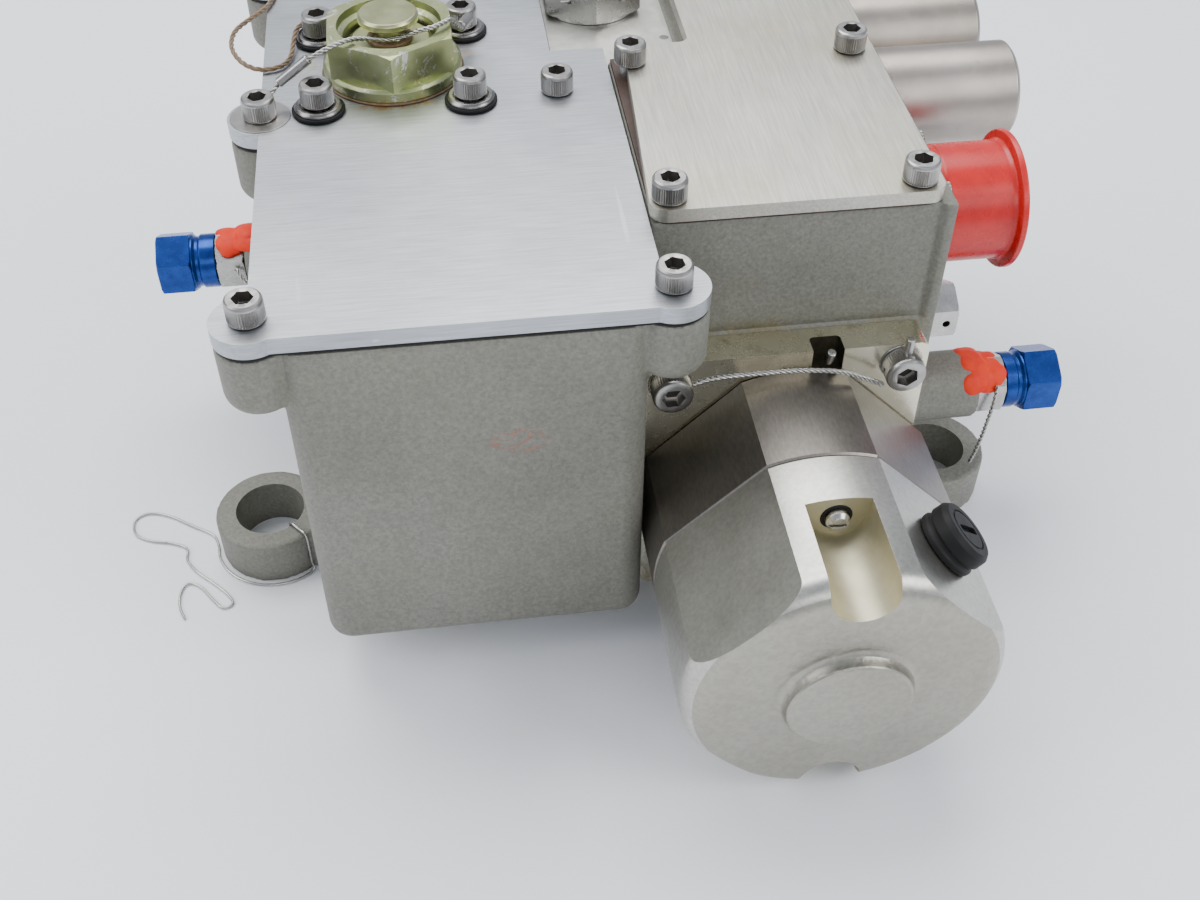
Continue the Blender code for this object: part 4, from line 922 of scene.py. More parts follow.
def add_tank(look):
    """The reservoir: an open cast box with ear bosses, one lug and the left port's boss."""
    body = prism(box_outline(TANK_X, TANK_Y, TANK_CORNER, 8), *TANK_Z)
    clean(body, 0.1)
    edges = body.modifiers.new("foot", "BEVEL")
    edges.width = 5 * MM
    edges.segments = 4
    edges.limit_method = "ANGLE"
    edges.angle_limit = math.radians(60)
    settle(body)
    fuse(body, prism(box_outline(TANK_X, TANK_Y, TANK_CORNER, 8), TANK_Z[1] - 12, TANK_Z[1]))
    for x, y in EARS.values():
        fuse(body, ear_boss(x, y))
    fuse(body, lug(LEFT_LUG, TANK_X[0] + 1, True))
    fuse(body, rod((TANK_X[0] + 1, *LEFT_PORT), LEFT, PORT_BOSS, 23.6))
    fuse(body, rod((TANK_X[0] + 1, *LEFT_PORT), LEFT, 14, 5))
    cut(body, block((NOTCH[0] - 1, 20), (NOTCH[1] - 1, 140), (0, 140)))
    x = (TANK_X[0] + WALL, TANK_X[1] - WALL)
    y = (TANK_Y[0] + WALL, TANK_Y[1] - WALL)
    inner = block(x, y, (TANK_Z[0] + WALL, 140))
    cut(inner, block((NOTCH[0] - 6, 20), (NOTCH[1] - WALL, 140), (0, 150)))
    cut(body, inner)
    cast(body, 6)
    cut(body, block((-130, 40), (-90, 140), (TANK_Z[1] - 0.4, 140)))
    cut(body, rod((*LEFT_LUG, -5), UP, LUG_HOLE, 40, 96))
    cut(body, block((-140, -80), (-60, 60), (-5, 0.05)))
    return finish(body, "reservoir_body", look, nodes=("reservoir_tank",), smooth=28)


def plate_outline(margin):
    x = (COVER_X[0] + margin, COVER_X[1] - margin)
    return box_outline(x, (TANK_Y[0] + margin / 3, COVER_BACK - margin), 3)


def cover_plate(low, high, margin=0.0):
    plate = prism(plate_outline(margin), low, high)
    for x, y in EARS.values():
        fuse(plate, rod((x, y, low), UP, EAR_RADIUS - margin / 4, high - low))
    cut(plate, block((NOTCH[0] - margin, 40), (NOTCH[1], 140), (low - 1, high + 1)))
    return plate


def add_cover(look):
    plate = cover_plate(*COVER_Z)
    for x, y in (*EARS.values(), INBOARD_SCREW, *FILLER_SCREWS):
        cut(plate, rod((x, y, COVER_Z[0] - 1), UP, SCREW_HOLE, 10, 32))
    cut(plate, rod((*FILLER, COVER_Z[0] - 1), UP, 13.4, 10, 64))
    soften(plate, 0.45)
    return finish(plate, "reservoir_cover_plate", look, nodes=("reservoir_cover",))


def add_cover_gasket(look):
    ring = cover_plate(TANK_Z[1] + 0.2, COVER_Z[0] + 0.05, 1.2)
    cut(ring, block((TANK_X[0] + 5, TANK_X[1] - 6), (TANK_Y[0] + 5, TANK_Y[1] - 5), (120, 135)))
    return finish(ring, "reservoir_seal", look, nodes=("reservoir_gasket",))


# --------------------------------------------------------------------- screws


def screw_shape():
    """A socket-head screw: fluted head, chamfered rims, hex socket and shank, head's foot at 0."""
    top = HEAD_HEIGHT
    profile = [
        (0, -15), (2.6, -15), (3.17, -14.4), (3.17, 0), (4.3, 0), (HEAD_RADIUS, 0.4),
        (HEAD_RADIUS, 0.55), (HEAD_RADIUS, 0.6), (HEAD_RADIUS, top - 1.25),
        (HEAD_RADIUS - 0.02, top - 1.2), (HEAD_RADIUS - 0.06, top - 0.75),
        (HEAD_RADIUS - 0.30, top - 0.28), (HEAD_RADIUS - 0.75, top), (0, top),
    ]
    item = turned(profile, sides=KNURLS * 4, ripple=(KNURLS, 0.34, 0.58, top - 1.22))
    socket = ((0, top - 3.4), (SOCKET_RADIUS, top - 3.2), (SOCKET_RADIUS, top + 1), (0, top + 1))
    cut(item, turned(socket, sides=6))
    cut(item, turned(((0, top - 0.45), (SOCKET_RADIUS + 0.28, top + 0.1), (0, top + 0.1)), sides=48))
    return item


def add_screws(look, socket_look):
    """Every socket-head screw, on one shared mesh, with a dark disc of painted shade on the floor of its
    socket.
    """
    shape = screw_shape()
    mesh = shape.data
    bpy.data.objects.remove(shape, do_unlink=True)
    low = COVER_Z[1] + SCREW_LIFT
    places = {f"reservoir_screw_{n}": ((x, y, low), UP) for n, (x, y) in EARS.items()}
    places["reservoir_screw_mid_right"] = ((*INBOARD_SCREW, low), UP)
    for n, (x, y) in enumerate(FILLER_SCREWS, 1):
        places[f"filler_screw_{n}"] = ((x, y, low + 2.5), UP)
    for n, (x, y) in LID_SCREWS.items():
        places[f"manifold_screw_{n}"] = ((x, y, LID_Z[1] + SCREW_LIFT), UP)
    for n, (x, z) in FLANGE_SCREWS.items():
        places[f"flange_screw_{n}"] = ((x, FLANGE_Y[0] - SCREW_LIFT, z), FRONT)
    for number, (name, (at, axis)) in enumerate(places.items()):
        item = link("screw", mesh.copy())
        item.data.transform(Matrix.Rotation(math.radians(37 * number % 60), 4, "Z"))
        if name.startswith("flange_screw"):
            item.data.transform(Matrix.Diagonal((FLANGE_HEAD_SCALE, FLANGE_HEAD_SCALE, 1, 1)))
            cut(item, rod((-8, 0, HEAD_HEIGHT * 0.42), RIGHT, 0.7, 16, 12))
        put(item, at, axis)
        finish(item, f"{name}_head", look, nodes=(name,), smooth=30)
        # A thin near-black disc on the socket's floor: painted shade deep in the socket.
        grime_and_shade = turned(((0, 0), (2.5, 0), (2.5, 0.2), (0, 0.25)), sides=6, turn=37 * number % 60)
        put(grime_and_shade, Vector(at) + Vector(axis) * (HEAD_HEIGHT - 3.35), axis)
        finish(grime_and_shade, f"{name}_socket", socket_look)


# --------------------------------------------------------------------- filler


def add_filler(look, washer_look, seal_look, residue_look):
    """The filler's fitting with its hex collar, and the seals and washers of its screws."""
    low = COVER_Z[1] + SCREW_LIFT
    foot = ((0, 120.5), (13, 120.5), (13, low), (20.4, low), (20.4, 135.9), (19.6, 136.8), (0, 136.8))
    base = lathe(foot, 0.5, (*FILLER, 0))
    body = hexagon(20.6, 135.5, 147.5, 0.08)
    put(body, (*FILLER, 0))
    fuse(base, body)
    bore = [(0, 100), (7, 100), (7, 138.5), (13.6, 138.5)]
    bore += [(13.6, 144.2), (15.2, 145.2), (15.2, 150), (0, 150)]
    cut(base, lathe(bore, 0.35, (*FILLER, 0), sides=96))
    finish(base, "filler_fitting", look, nodes=("filler_neck",), edge=0.35)
    sealant = turned(bead(20.6, 0.45, 0.35, low, 10), (*FILLER, 0), loop=True)
    finish(sealant, "filler_sealant", residue_look)
    for n, (x, y) in enumerate(FILLER_SCREWS, 1):
        item = lathe(band(3.4, 7.6, 0, 1), 0.35, (x, y, low), loop=True)
        finish(item, f"filler_seal_{n}", seal_look)
        dish = [(3.5, 0.6), (6.6, 0.4), (6.9, 0.8), (6.9, 1.6)]
        dish += [(6.2, 2.3), (5.2, 2.3), (4.9, 2.0), (3.5, 2.0)]
        item = turned(dish, (x, y, low), loop=True)
        node = f"filler_washer_{n}"
        finish(item, f"{node}_dish", washer_look, nodes=(node,), edge=0.12)


def add_knob(look, residue_look):
    """The knob and its dipstick, turned in one piece."""
    seat = 138.8
    profile = (
        (0, 32), (1.6, 32), (1.6, 121), (6.7, 122), (6.7, seat), (12.5, seat), (12.5, seat + 3.2),
        (11.2, seat + 4), (5.2, seat + 4), (4.0, seat + 5.2), (4.0, 147.2), (5.5, 148), (8.2, 148.2),
        (8.8, 148.8), (8.8, 150.2), (8.2, 151), (0, 151),
    )
    item = turned(smooth_profile(profile, 0.3, 3), (*FILLER, 0), sides=96)
    finish(item, "dipstick_knob", look, "filler_knob", nodes=("filler_knob",))
    ring = turned(bead(5.6, 1.2, 0.9, seat + 4.3, 12), (*FILLER, 0), loop=True)
    finish(ring, "knob_residue", residue_look, "filler_knob")


# ---------------------------------------------------------- manifold and pump


def add_manifold(look):
    """The valve block over the pump casting, with two lugs and the right port's boss."""
    x0, x1 = BLOCK_X
    body = block((x0, x1), BLOCK_Y, (10, BLOCK_TOP))
    fuse(body, block((x1 - 3, STRIP_X), (-36.5, 118), (72, BLOCK_TOP)))
    cut(body, block((x0 - 5, 5.7), (-80, 140), (126.7, 140)))
    cut(body, block((-60, 140), (90, 140), (0, 60)))
    fuse(body, block((x0, x1), (-36.7, 0), (10, 92.5)))
    fuse(body, block((RECESS_X_LOW, x0 + 5), (57, 118), (61, 129)))
    fuse(body, lug(RIGHT_LUG, x1 - 1, True), lug(REAR_LUG, 89, False))
    fuse(body, rod((x1 - 1, *RIGHT_PORT), RIGHT, PORT_BOSS, 28.5), rod((x1 - 1, *RIGHT_PORT), RIGHT, 14.5, 7))
    cut(body, block((-60, RECESS[0]), (RECESS[1], 140), (RECESS_FLOOR, 150)))
    cavity = turned(disc(13.1, 0, 20), (MOTOR[0], -40, MOTOR[1]), BACK)
    cut(body, cavity)
    cast(body, 3)
    cut(body, rod((*RIGHT_LUG, -5), UP, LUG_HOLE, 40, 96), rod((*REAR_LUG, -5), UP, LUG_HOLE, 40, 96))
    cut(body, block((-60, 140), (-60, 140), (-5, 0.05)))
    return finish(body, "manifold_body", look, nodes=("manifold_block",), smooth=28)


def lid_plate(low, high, margin=0.0):
    outline = box_outline((LID_X[0] + margin, LID_X[1] - margin), (LID_Y[0] + margin, LID_Y[1] - margin), 4.5)
    plate = prism(outline, low, high)
    corner = prism(box_outline((-60, RECESS[0] + margin), (RECESS[1] - margin, 180), 3), low - 1, high + 1)
    cut(plate, corner)
    return plate


def add_lid(look, gasket_look):
    plate = lid_plate(*LID_Z)
    for x, y in LID_SCREWS.values():
        cut(plate, rod((x, y, 130), UP, SCREW_HOLE, 12, 32))
    soften(plate, 0.4)
    finish(plate, "manifold_lid", look, nodes=("manifold_cover",))
    seal = lid_plate(BLOCK_TOP + 0.05, LID_Z[0] + 0.05, 0.8)
    finish(seal, "manifold_seal", gasket_look, nodes=("manifold_gasket",))


def add_recess(floor_look, steel, hole_shade_look):
    """The machined recess floor, with a small hole holding a dark disc of painted shade, and the big hex plug
    with its wire holes.
    """
    right = RECESS[0] - 0.4
    height = (RECESS_FLOOR - 0.5, RECESS_FLOOR + 0.12)
    floor = prism(box_outline((RECESS_X_LOW + 0.6, right), (57.8, 117.4), 2.5), *height)
    fuse(floor, prism(box_outline((6.2, right), (RECESS[1] + 0.5, 60), 2.5), *height))
    cut(floor, rod((26.4, 68, 120), UP, 1.5, 12, 24))
    finish(floor, "recess_floor", floor_look, edge=0.08)
    # A near-black disc in the small hole's bore: painted shade.
    pin = rod((26.4, 68, 127.2), UP, 1.5, 0.6, 24)
    finish(pin, "recess_hole", hole_shade_look)
    low = RECESS_FLOOR + 0.3
    plug = hexagon(17.5, low + 1, 139, 0.07)
    fuse(plug, rod((0, 0, low), UP, 15, 2, 72), rod((0, 0, 116.5), UP, 9.8, 14, 48))
    cut(plug, lathe(((0, 134), (9.6, 134), (10.5, 135), (10.5, 145), (0, 145)), 0.4, sides=72))
    for side in (-1, 1):
        cut(plug, rod((-20, side * 12.2, 135.6), RIGHT, 1.0, 40, 16))
    put(plug, (*RECESS_PLUG, 0))
    finish(plug, "recess_hex_plug", steel, nodes=("recess_plug",), edge=0.3)


def add_side_plug(steel):
    y, z = SIDE_PLUG
    start = STRIP_X + 0.3
    plug = hexagon(8.8, 0, 8.5, 0.08, (False, True))
    fuse(plug, rod((0, 0, -9), UP, 5, 10, 32))
    cut(plug, rod((-20, 0, 5.2), RIGHT, 1.1, 40, 16))
    put(plug, (start, y, z), RIGHT)
    finish(plug, "side_hex_plug", steel, nodes=("side_plug",), edge=0.25)


# -------------------------------------------------- solenoids and connector


def add_solenoid(side, look, screw_look):
    """A drawn canister with a rolled seam and two slotted screws."""
    y = SOLENOIDS[side]
    root = STRIP_X + 0.3
    length = SOLENOID_END - root
    outside = ((0, length), (14.4, length), (16.0, length - 1.4), (16.0, 2.2), (16.0, 0))
    profile = (*outside, (14.5, 0), (14.5, length - 2), (0, length - 2))
    case = lathe(profile, 0.8, (root, y, SOLENOID_Z), RIGHT, 96)
    seam = lathe(band(15.7, 16.45, 2.4, 4.4), 0.3, (root, y, SOLENOID_Z), RIGHT, 96, True)
    merge(case, seam)
    finish(case, f"solenoid_{side}_can", look, nodes=(f"solenoid_case_{side}",))
    for turn in (62, 118):
        angle = math.radians(turn)
        at = Vector((root, y + 14.6 * math.cos(angle), SOLENOID_Z + 17.6 * math.sin(angle)))
        head = lathe(((0, 0), (2.3, 0), (2.3, 1.6), (1.4, 2.2), (0, 2.2)), 0.3, at, RIGHT, 32)
        cut(head, block((at.x + 1.5, at.x + 5), (at.y - 3, at.y + 3), (at.z - 0.35, at.z + 0.35)))
        finish(head, f"solenoid_{side}_screw_{turn}", screw_look)


def add_connector(shell_look, insert_look, gold_look, screw_look):
    """A flanged shell with a threaded barrel, an insert with eight pins, and three screws."""
    y, z = CONNECTOR
    start = STRIP_X + 0.3
    plate = prism(box_outline((-17, 17), (-17, 17), 3.2), 0, 3.5)
    wall = [(13.6, 3.2), (15.2, 3.2), (15.2, 6)]
    for turn in range(10):
        wall += [(15.2, 6.4 + 1.2 * turn), (14.75, 6.9 + 1.2 * turn), (15.2, 7.4 + 1.2 * turn)]
    wall += [(15.2, 24.0), (14.9, 24.4), (13.6, 24.4)]
    barrel = turned(wall, sides=72, loop=True)
    cut(plate, rod((0, 0, 2), UP, 13.6, 4, 72))
    soften(plate, 0.35)
    merge(plate, barrel)
    put(plate, (start, y, z), RIGHT)
    finish(plate, "connector_body", shell_look, nodes=("connector_shell",))
    insert = lathe(disc(13.2, 0, 9), 0.4, (start + 3.8, y, z), RIGHT)
    finish(insert, "connector_core", insert_look, nodes=("connector_insert",))
    for i, angle in enumerate(ring_angles(8)):
        at = (start + 12.6, y + 8.5 * math.cos(angle), z + 8.5 * math.sin(angle))
        pin = turned(((0, 0), (0.8, 0), (0.8, 5.6), (0.4, 6.2), (0, 6.2)), at, RIGHT, 16)
        finish(pin, f"connector_pin_{i}", gold_look)
    for i, (dy, dz) in enumerate(((-13.4, -13.4), (-13.4, 13.4), (13.4, 13.4))):
        profile = ((0, 0), (2.9, 0), (2.9, 3.1), (2.5, 3.4), (0, 3.4))
        head = turned(profile, sides=96, ripple=(24, 0.22, 0, 3.2))
        cut(head, rod((0, 0, 2), UP, 1.5, 3, 6))
        put(head, (start + 3.6, y + dy, z + dz), RIGHT)
        finish(head, f"connector_screw_{i}", screw_look, smooth=30)


def add_dust_cap(look):
    """A moulded plastic cap: thin flared rim, stepped body and a dished end."""
    profile = (
        (0, 116.0), (15.4, 116.0), (16.2, 117.0), (16.4, 118.8), (20.3, 118.9), (20.5, 118.4),
        (20.4, 116.9), (17.9, 116.6), (17.5, 115.4), (17.5, 96.5), (17.2, 96.0), (17.2, 93.4),
        (16.6, 93.2), (15.6, 93.2), (15.6, 114.4), (0, 114.4),
    )
    cap = lathe(profile, 0.5, (0, *CONNECTOR), RIGHT, 96)
    finish(cap, "dust_cap", look, "connector_cap", nodes=("connector_cap",))


# ---------------------------------------------------------------------- ports


def add_port(side, steel, blue, paint):
    """A hex fitting in its boss, with a blue cap and a lump of sealing paint."""
    sign, at, boss_end = {"right": (1, RIGHT_PORT, 115.5), "left": (-1, LEFT_PORT, 114.0)}[side]
    axis = RIGHT if sign > 0 else LEFT
    start = boss_end + 0.3
    hex_end = start + 9
    fitting = hexagon(10, start, hex_end, 0.09)
    nose = [(0, start - 11), (5, start - 11), (5, start + 2), (5.5, start + 2)]
    nose += [(5.5, hex_end + 11), (4.5, hex_end + 12), (0, hex_end + 12)]
    fuse(fitting, lathe(nose, 0.2, sides=48))
    cut(fitting, rod((0, 0, hex_end - 4), UP, 3.4, 30, 32))
    put(fitting, (0, *at), axis)
    finish(fitting, f"{side}_port_fitting", steel, nodes=(f"{side}_fitting",), edge=0.25)
    low = hex_end + 0.3
    cap = hexagon(10.9, 131.5, 142.5, 0.08)
    skirt = ((0, low), (9, low), (9, 128.6), (8.4, 129.2), (8.4, 130.2), (9.2, 131), (9.2, 132.5), (0, 132.5))
    fuse(cap, lathe(skirt, 0.35, sides=72))
    cut(cap, turned(((0, low - 1), (5.8, low - 1), (5.8, 138), (0, 138.8)), sides=48))
    cut(cap, lathe(((0, 140.9), (5.4, 140.9), (6.2, 145), (0, 145)), 0.3, sides=48))
    put(cap, (0, *at), axis)
    finish(cap, f"{side}_blue_cap", blue, f"{side}_cap", nodes=(f"{side}_cap",), edge=0.3)
    add_seal_paint(f"{side}_seal_paint", sign * boss_end, at, sign, paint)


def add_seal_paint(name, x, at, sign, look):
    """A brushed lump of sealing paint over the joint between the boss and the hex."""
    y, z = at
    rng = np.random.default_rng(11 if sign > 0 else 12)
    middle = math.radians(78 if sign > 0 else 96)
    lumps = []
    for _ in range(PAINT_LUMPS):
        angle = middle + math.radians(rng.uniform(-44, 44))
        along = rng.uniform(-3.5, 7.0) * (1 - 0.35 * abs(angle - middle))
        size = rng.uniform(2.4, 3.9)
        reach = (10.5 if along < 0.5 else 9.2) + rng.uniform(-0.2, 0.2)
        outward = Vector((0, -math.cos(angle), math.sin(angle)))
        centre = Vector((x + sign * along, y, z)) + outward * reach
        arc = [(size * math.sin(math.pi * k / 8), -size * 0.30 * math.cos(math.pi * k / 8)) for k in range(9)]
        arc[0], arc[-1] = (0, arc[0][1]), (0, arc[-1][1])
        lumps.append(turned(arc, centre, outward, 16))
    blob = merge(*lumps)
    change = blob.modifiers.new("remesh", "REMESH")
    change.mode = "VOXEL"
    change.voxel_size = 0.3 * MM
    relax = blob.modifiers.new("relax", "SMOOTH")
    relax.factor = 0.5
    relax.iterations = 14
    settle(blob)
    finish(blob, name, look, smooth=180)


# ---------------------------------------------------------------------- motor


def motor_section(inset=0.0, steps=14):
    """The motor's section about its axis: arcs at the top, bottom and sides, flats at 45 degrees."""
    radius, flat = MOTOR_RADIUS - inset, MOTOR_FLAT - inset
    reach = math.pi / 4 - math.acos(flat / radius)
    points = []
    for quarter in range(4):
        for i in range(steps + 1):
            angle = math.pi / 2 * quarter - reach + 2 * reach * i / steps
            points.append((radius * math.cos(angle), radius * math.sin(angle)))
    return points


def motor_sleeve(stations):
    """The motor's section swept along the axis: stations are (y, inset) from back to front."""

    def fill(bm):
        rings = []
        for y, inset in stations:
            rings.append([bm.verts.new((x, z, -y)) for x, z in motor_section(inset)])
        skin(bm, rings)
        for ring in (rings[0], rings[-1]):
            bm.faces.new(ring)

    item = built("sleeve", fill)
    item.data.transform(Matrix.Translation((MOTOR[0] * MM, 0, MOTOR[1] * MM)) @ UPRIGHT)
    return item


def on_motor(y):
    return (MOTOR[0], y, MOTOR[1])


def add_flange(look, pin_look, shade_look):
    """The motor's mounting plate, with a slot on top whose inside faces take painted shade, its pin and two
    washers.
    """
    plate = prism(box_outline(FLANGE_X, FLANGE_Z, 3), 0, FLANGE_Y[1] - FLANGE_Y[0])
    plate.data.transform(Matrix.Translation((0, FLANGE_Y[1] * MM, 0)) @ UPRIGHT)
    cut(plate, rod(on_motor(-50), BACK, 16, 7.6), rod(on_motor(-50), BACK, 5.4, 20))
    back = FLANGE_Y[0] + SLOT_DEPTH
    cut(plate, prism(box_outline(SLOT_X, (-60, back), 1.2), SLOT_FLOOR, 99))
    for x, z in FLANGE_SCREWS.values():
        cut(plate, rod((x, -50, z), BACK, SCREW_HOLE, 20, 32))
        cut(plate, rod((x, -50, z), BACK, 6.2, 3.3, 48))
    finish(plate, "motor_mounting_flange", look, nodes=("motor_flange",), edge=0.35)
    # The faces inside the slot take a near-black finish: painted shade in the slot.
    plate.data.materials.append(shade_look)
    near = 0.1
    for face in plate.data.polygons:
        points = [plate.data.vertices[i].co / MM for i in face.vertices]
        across = all(SLOT_X[0] - near < p.x < SLOT_X[1] + near for p in points)
        if across and all(p.z > SLOT_FLOOR - near and p.y < back + near for p in points):
            face.material_index = 1
    pin = lathe(disc(1.3, 0, 4.6), 0.4, (55.4, -45.8, 88.3), (0.1, -0.25, 1), 24)
    finish(pin, "flange_slot_pin", pin_look)
    for name, (x, z) in FLANGE_SCREWS.items():
        washer = lathe(band(3.6, 6.0, 0, 0.9), 0.25, (x, -46.25, z), FRONT, 48, True)
        finish(washer, f"flange_washer_{name}", pin_look)


def add_housing(look):
    """The motor's rear shell, open inside."""
    rear = ((FLANGE_Y[0] - 0.3, 0.6), (FLANGE_Y[0] - 0.9, 0))
    shell = motor_sleeve((*rear, (SEAM_Y + 0.9, 0), (SEAM_Y + 0.3, 0.5)))
    cut(shell, rod(on_motor(SEAM_Y - 1), BACK, BELL_BORE, 32), rod(on_motor(-46), FRONT, 11.3, 20))
    finish(shell, "motor_rear_shell", look, nodes=("motor_housing",), smooth=20)


def pocket(sign):
    """A half-round pocket with soft inner corners, open to the front and outwards."""
    z = MOTOR[1] + sign * (POCKET_FLOOR + POCKET_HALF)
    half = POCKET_HALF
    angles = [math.pi * i / 24 for i in range(25)]
    outline = [(half * math.cos(a), -half * math.sin(a)) for a in angles]
    outline = [(-half, 24), *[(x, y) for x, y in reversed(outline)], (half, 24)]
    item = prism(outline, 0, 40)
    item.data.transform(UPRIGHT)
    if sign < 0:
        item.data.transform(Matrix.Scale(-1, 4, (0, 0, 1)))
        item.data.flip_normals()
    item.data.transform(Matrix.Translation((MOTOR[0] * MM, POCKET_BACK * MM, z * MM)))
    return item


def add_end_bell(look, face_look, pocket_look):
    """A turned bell with four milled flats, a raised boss and two pockets with screw holes."""
    length = SEAM_Y - BELL_FRONT
    profile = [(0, 0), (MOTOR_RADIUS - 0.4, 0), (MOTOR_RADIUS, 0.5)]
    for i in range(11):
        angle = math.pi / 2 * i / 10
        radius = MOTOR_RADIUS - BELL_ROUNDING * (1 - math.cos(angle))
        profile.append((radius, length - BELL_ROUNDING * (1 - math.sin(angle))))
    bell = turned([*profile, (0, length)], on_motor(SEAM_Y), FRONT, 144)
    corner = MOTOR_FLAT * math.sqrt(2)
    flats = prism([(corner * x, corner * y) for x, y in DIAMOND], -1, length + 1)
    put(flats, on_motor(SEAM_Y), FRONT)
    combine(bell, flats, "INTERSECT")
    boss = [(0, -4)]
    for out, height in BOSS_EDGE:
        boss.append((BOSS_RADIUS + out, height))
    boss.append((0, BOSS_HEIGHT))
    fuse(bell, turned(boss, on_motor(BELL_FRONT), FRONT, 96))
    cut(bell, rod(on_motor(SEAM_Y + 1), FRONT, BELL_BORE, 13.7))
    for sign in (1, -1):
        cut(bell, pocket(sign))
        z = MOTOR[1] + sign * BELL_SCREW_OFFSET
        cut(bell, rod((MOTOR[0], POCKET_BACK - 1, z), BACK, 1.9, 8, 24))
        cut(bell, rod((MOTOR[0], POCKET_BACK - 1, z), BACK, 4.3, 2.2, 48))
    soften(bell, 0.4, 2, 22)
    finish(bell, "motor_end_bell", look, nodes=("end_bell",), smooth=35)
    bell.data.materials.append(face_look)
    bell.data.materials.append(pocket_look)
    paint_bell(bell)


def paint_bell(bell):
    """The cast front takes the second finish, and the pockets take the third."""
    for face in bell.data.polygons:
        at = face.center / MM
        inside = abs(at.x - MOTOR[0]) < POCKET_HALF + 0.05
        off_axis = math.hypot(at.x - MOTOR[0], at.z - MOTOR[1])
        in_pocket = inside and off_axis > POCKET_FLOOR - 1 and at.y > BELL_FRONT + 0.5
        round_wall = abs(abs(at.z - MOTOR[1]) - POCKET_FLOOR - POCKET_HALF) < POCKET_HALF + 6
        if in_pocket and round_wall and off_axis < MOTOR_RADIUS - 0.6:
            face.material_index = 2
        elif at.y < BELL_FRONT + BELL_ROUNDING * 0.2:
            face.material_index = 1


def add_bell_screws(steel, gap_shade_look):
    for name, sign in (("top", 1), ("bottom", -1)):
        at = (MOTOR[0], POCKET_BACK, MOTOR[1] + sign * BELL_SCREW_OFFSET)
        profile = ((0, -4), (1.5, -4), (1.5, 0.1), (3.2, 0.1), (3.2, 1.7), (2.3, 3.0), (0, 3.3))
        head = lathe(profile, 0.35, sides=48)
        cut(head, block((-5, 5), (-0.45, 0.45), (2.1, 6)))
        put(head, at, FRONT)
        finish(head, f"bell_screw_{name}_head", steel, nodes=(f"bell_screw_{name}",), edge=0.08)
        # A black ring filling the gap between the head and its counterbore: painted shade in the gap.
        ring = lathe(band(3.3, 4.2, -0.5, 0.25), 0.2, at, FRONT, 48, True)
        finish(ring, f"bell_screw_{name}_ring", gap_shade_look)


def add_rubber_plug(look):
    """A moulded rubber plug: foot flange, waist, rounded top with a moulded slot."""
    outward = Vector((1, 0, 1)).normalized()
    at = Vector(on_motor(PLUG_Y)) + outward * (MOTOR_FLAT + 0.25)
    foot = ((0, 0), (9.4, 0), (9.5, 1.6), (8.9, 2.2), (8.9, 3.0))
    profile = (*foot, (9.4, 3.6), (9.3, 6.6), (8.2, 8.0), (0, 8.1))
    plug = turned(smooth_profile(profile, 0.6, 3), sides=96)
    cut(plug, prism(box_outline((-1.1, 1.1), (-4.6, 4.6), 0.9), 6.9, 10))
    cut(plug, lathe(band(5.6, 6.2, 7.7, 9), 0.1, sides=72, loop=True))
    turn = Matrix.Rotation(math.radians(20), 4, "Z")
    plug.data.transform(turn)
    put(plug, at, outward)
    finish(plug, "rubber_bung", look, "rubber_plug", nodes=("rubber_plug",), smooth=35)


# ------------------------------------------------------------ wires and cords


def add_lanyard(cable_look, ferrule_look):
    """The safety cable from the cover screw past the knob, with its crimps and wide washer."""
    cable = twisted(LANYARD_ROUTE, CABLE_DIAMETER, 3, 5.0)
    nodes = ("lanyard_cable",)
    finish(cable, "lanyard_strands", cable_look, "filler_knob", nodes=nodes, smooth=60)
    start, end = Vector((-90.6, 35.2, 139.2)), Vector((-81.6, 36.0, 145.6))
    sleeve = lathe(disc(1.5, 0, 11.5), 0.4, start, end - start, 32)
    finish(sleeve, "lanyard_ferrule_upper", ferrule_look, "filler_knob")
    crimp = lathe(disc(1.6, 0, 9), 0.35, (-37.4, 55.2, 142.6), (1.6, 4.6, -0.9), 32)
    finish(crimp, "lanyard_ferrule_end", ferrule_look, "filler_knob")
    x, y = EARS["mid_left"]
    washer = lathe(band(3.6, 8.6, 0, 0.25), 0.08, (x, y, COVER_Z[1] + 0.03), UP, 64, True)
    finish(washer, "lanyard_washer", ferrule_look)


def add_flange_wire(cable_look, ferrule_look):
    cable = twisted(FLANGE_WIRE_ROUTE, CABLE_DIAMETER, 3, 5.0)
    finish(cable, "flange_wire_strands", cable_look, nodes=("flange_lockwire",), smooth=60)
    x, z = FLANGE_SCREWS["right"]
    stub = lathe(disc(1.2, 0, 6.4), 0.35, (x + 0.4, FLANGE_Y[0] - 3, z + 4.4), UP, 24)
    finish(stub, "flange_wire_ferrule", ferrule_look)


def add_port_wires(cable_look):
    """Twisted locking wire from each fitting's hex down to its boss."""
    for side, route in PORT_WIRE_ROUTES.items():
        wire = twisted(route, 1.5, 2, 3.4)
        finish(wire, f"{side}_port_wire", cable_look, smooth=60)


def ring_point(angle, radius, height):
    turn = math.radians(angle)
    return (LEFT_LUG[0] + radius * math.cos(turn), LEFT_LUG[1] + radius * math.sin(turn), height)


def add_lug_wire(look):
    """One soft wire: out of the lug's bore, over its top, round its foot and out into two loops."""
    corners = [ring_point(-50, radius, height) for radius, height in WIRE_OVER_LUG]
    corners += [ring_point(angle, 19, WIRE_LOW) for angle in WIRE_FOOT_ANGLES]
    corners += [(x, y, WIRE_LOW) for x, y in WIRE_LOOPS]
    points = smooth_route(corners, 0.8)

    def fill(bm):
        tube(bm, points, WIRE_DIAMETER / 2, 10)

    wire = finish(built("wire", fill), "loose_wire", look, nodes=("lug_wire",), smooth=60)


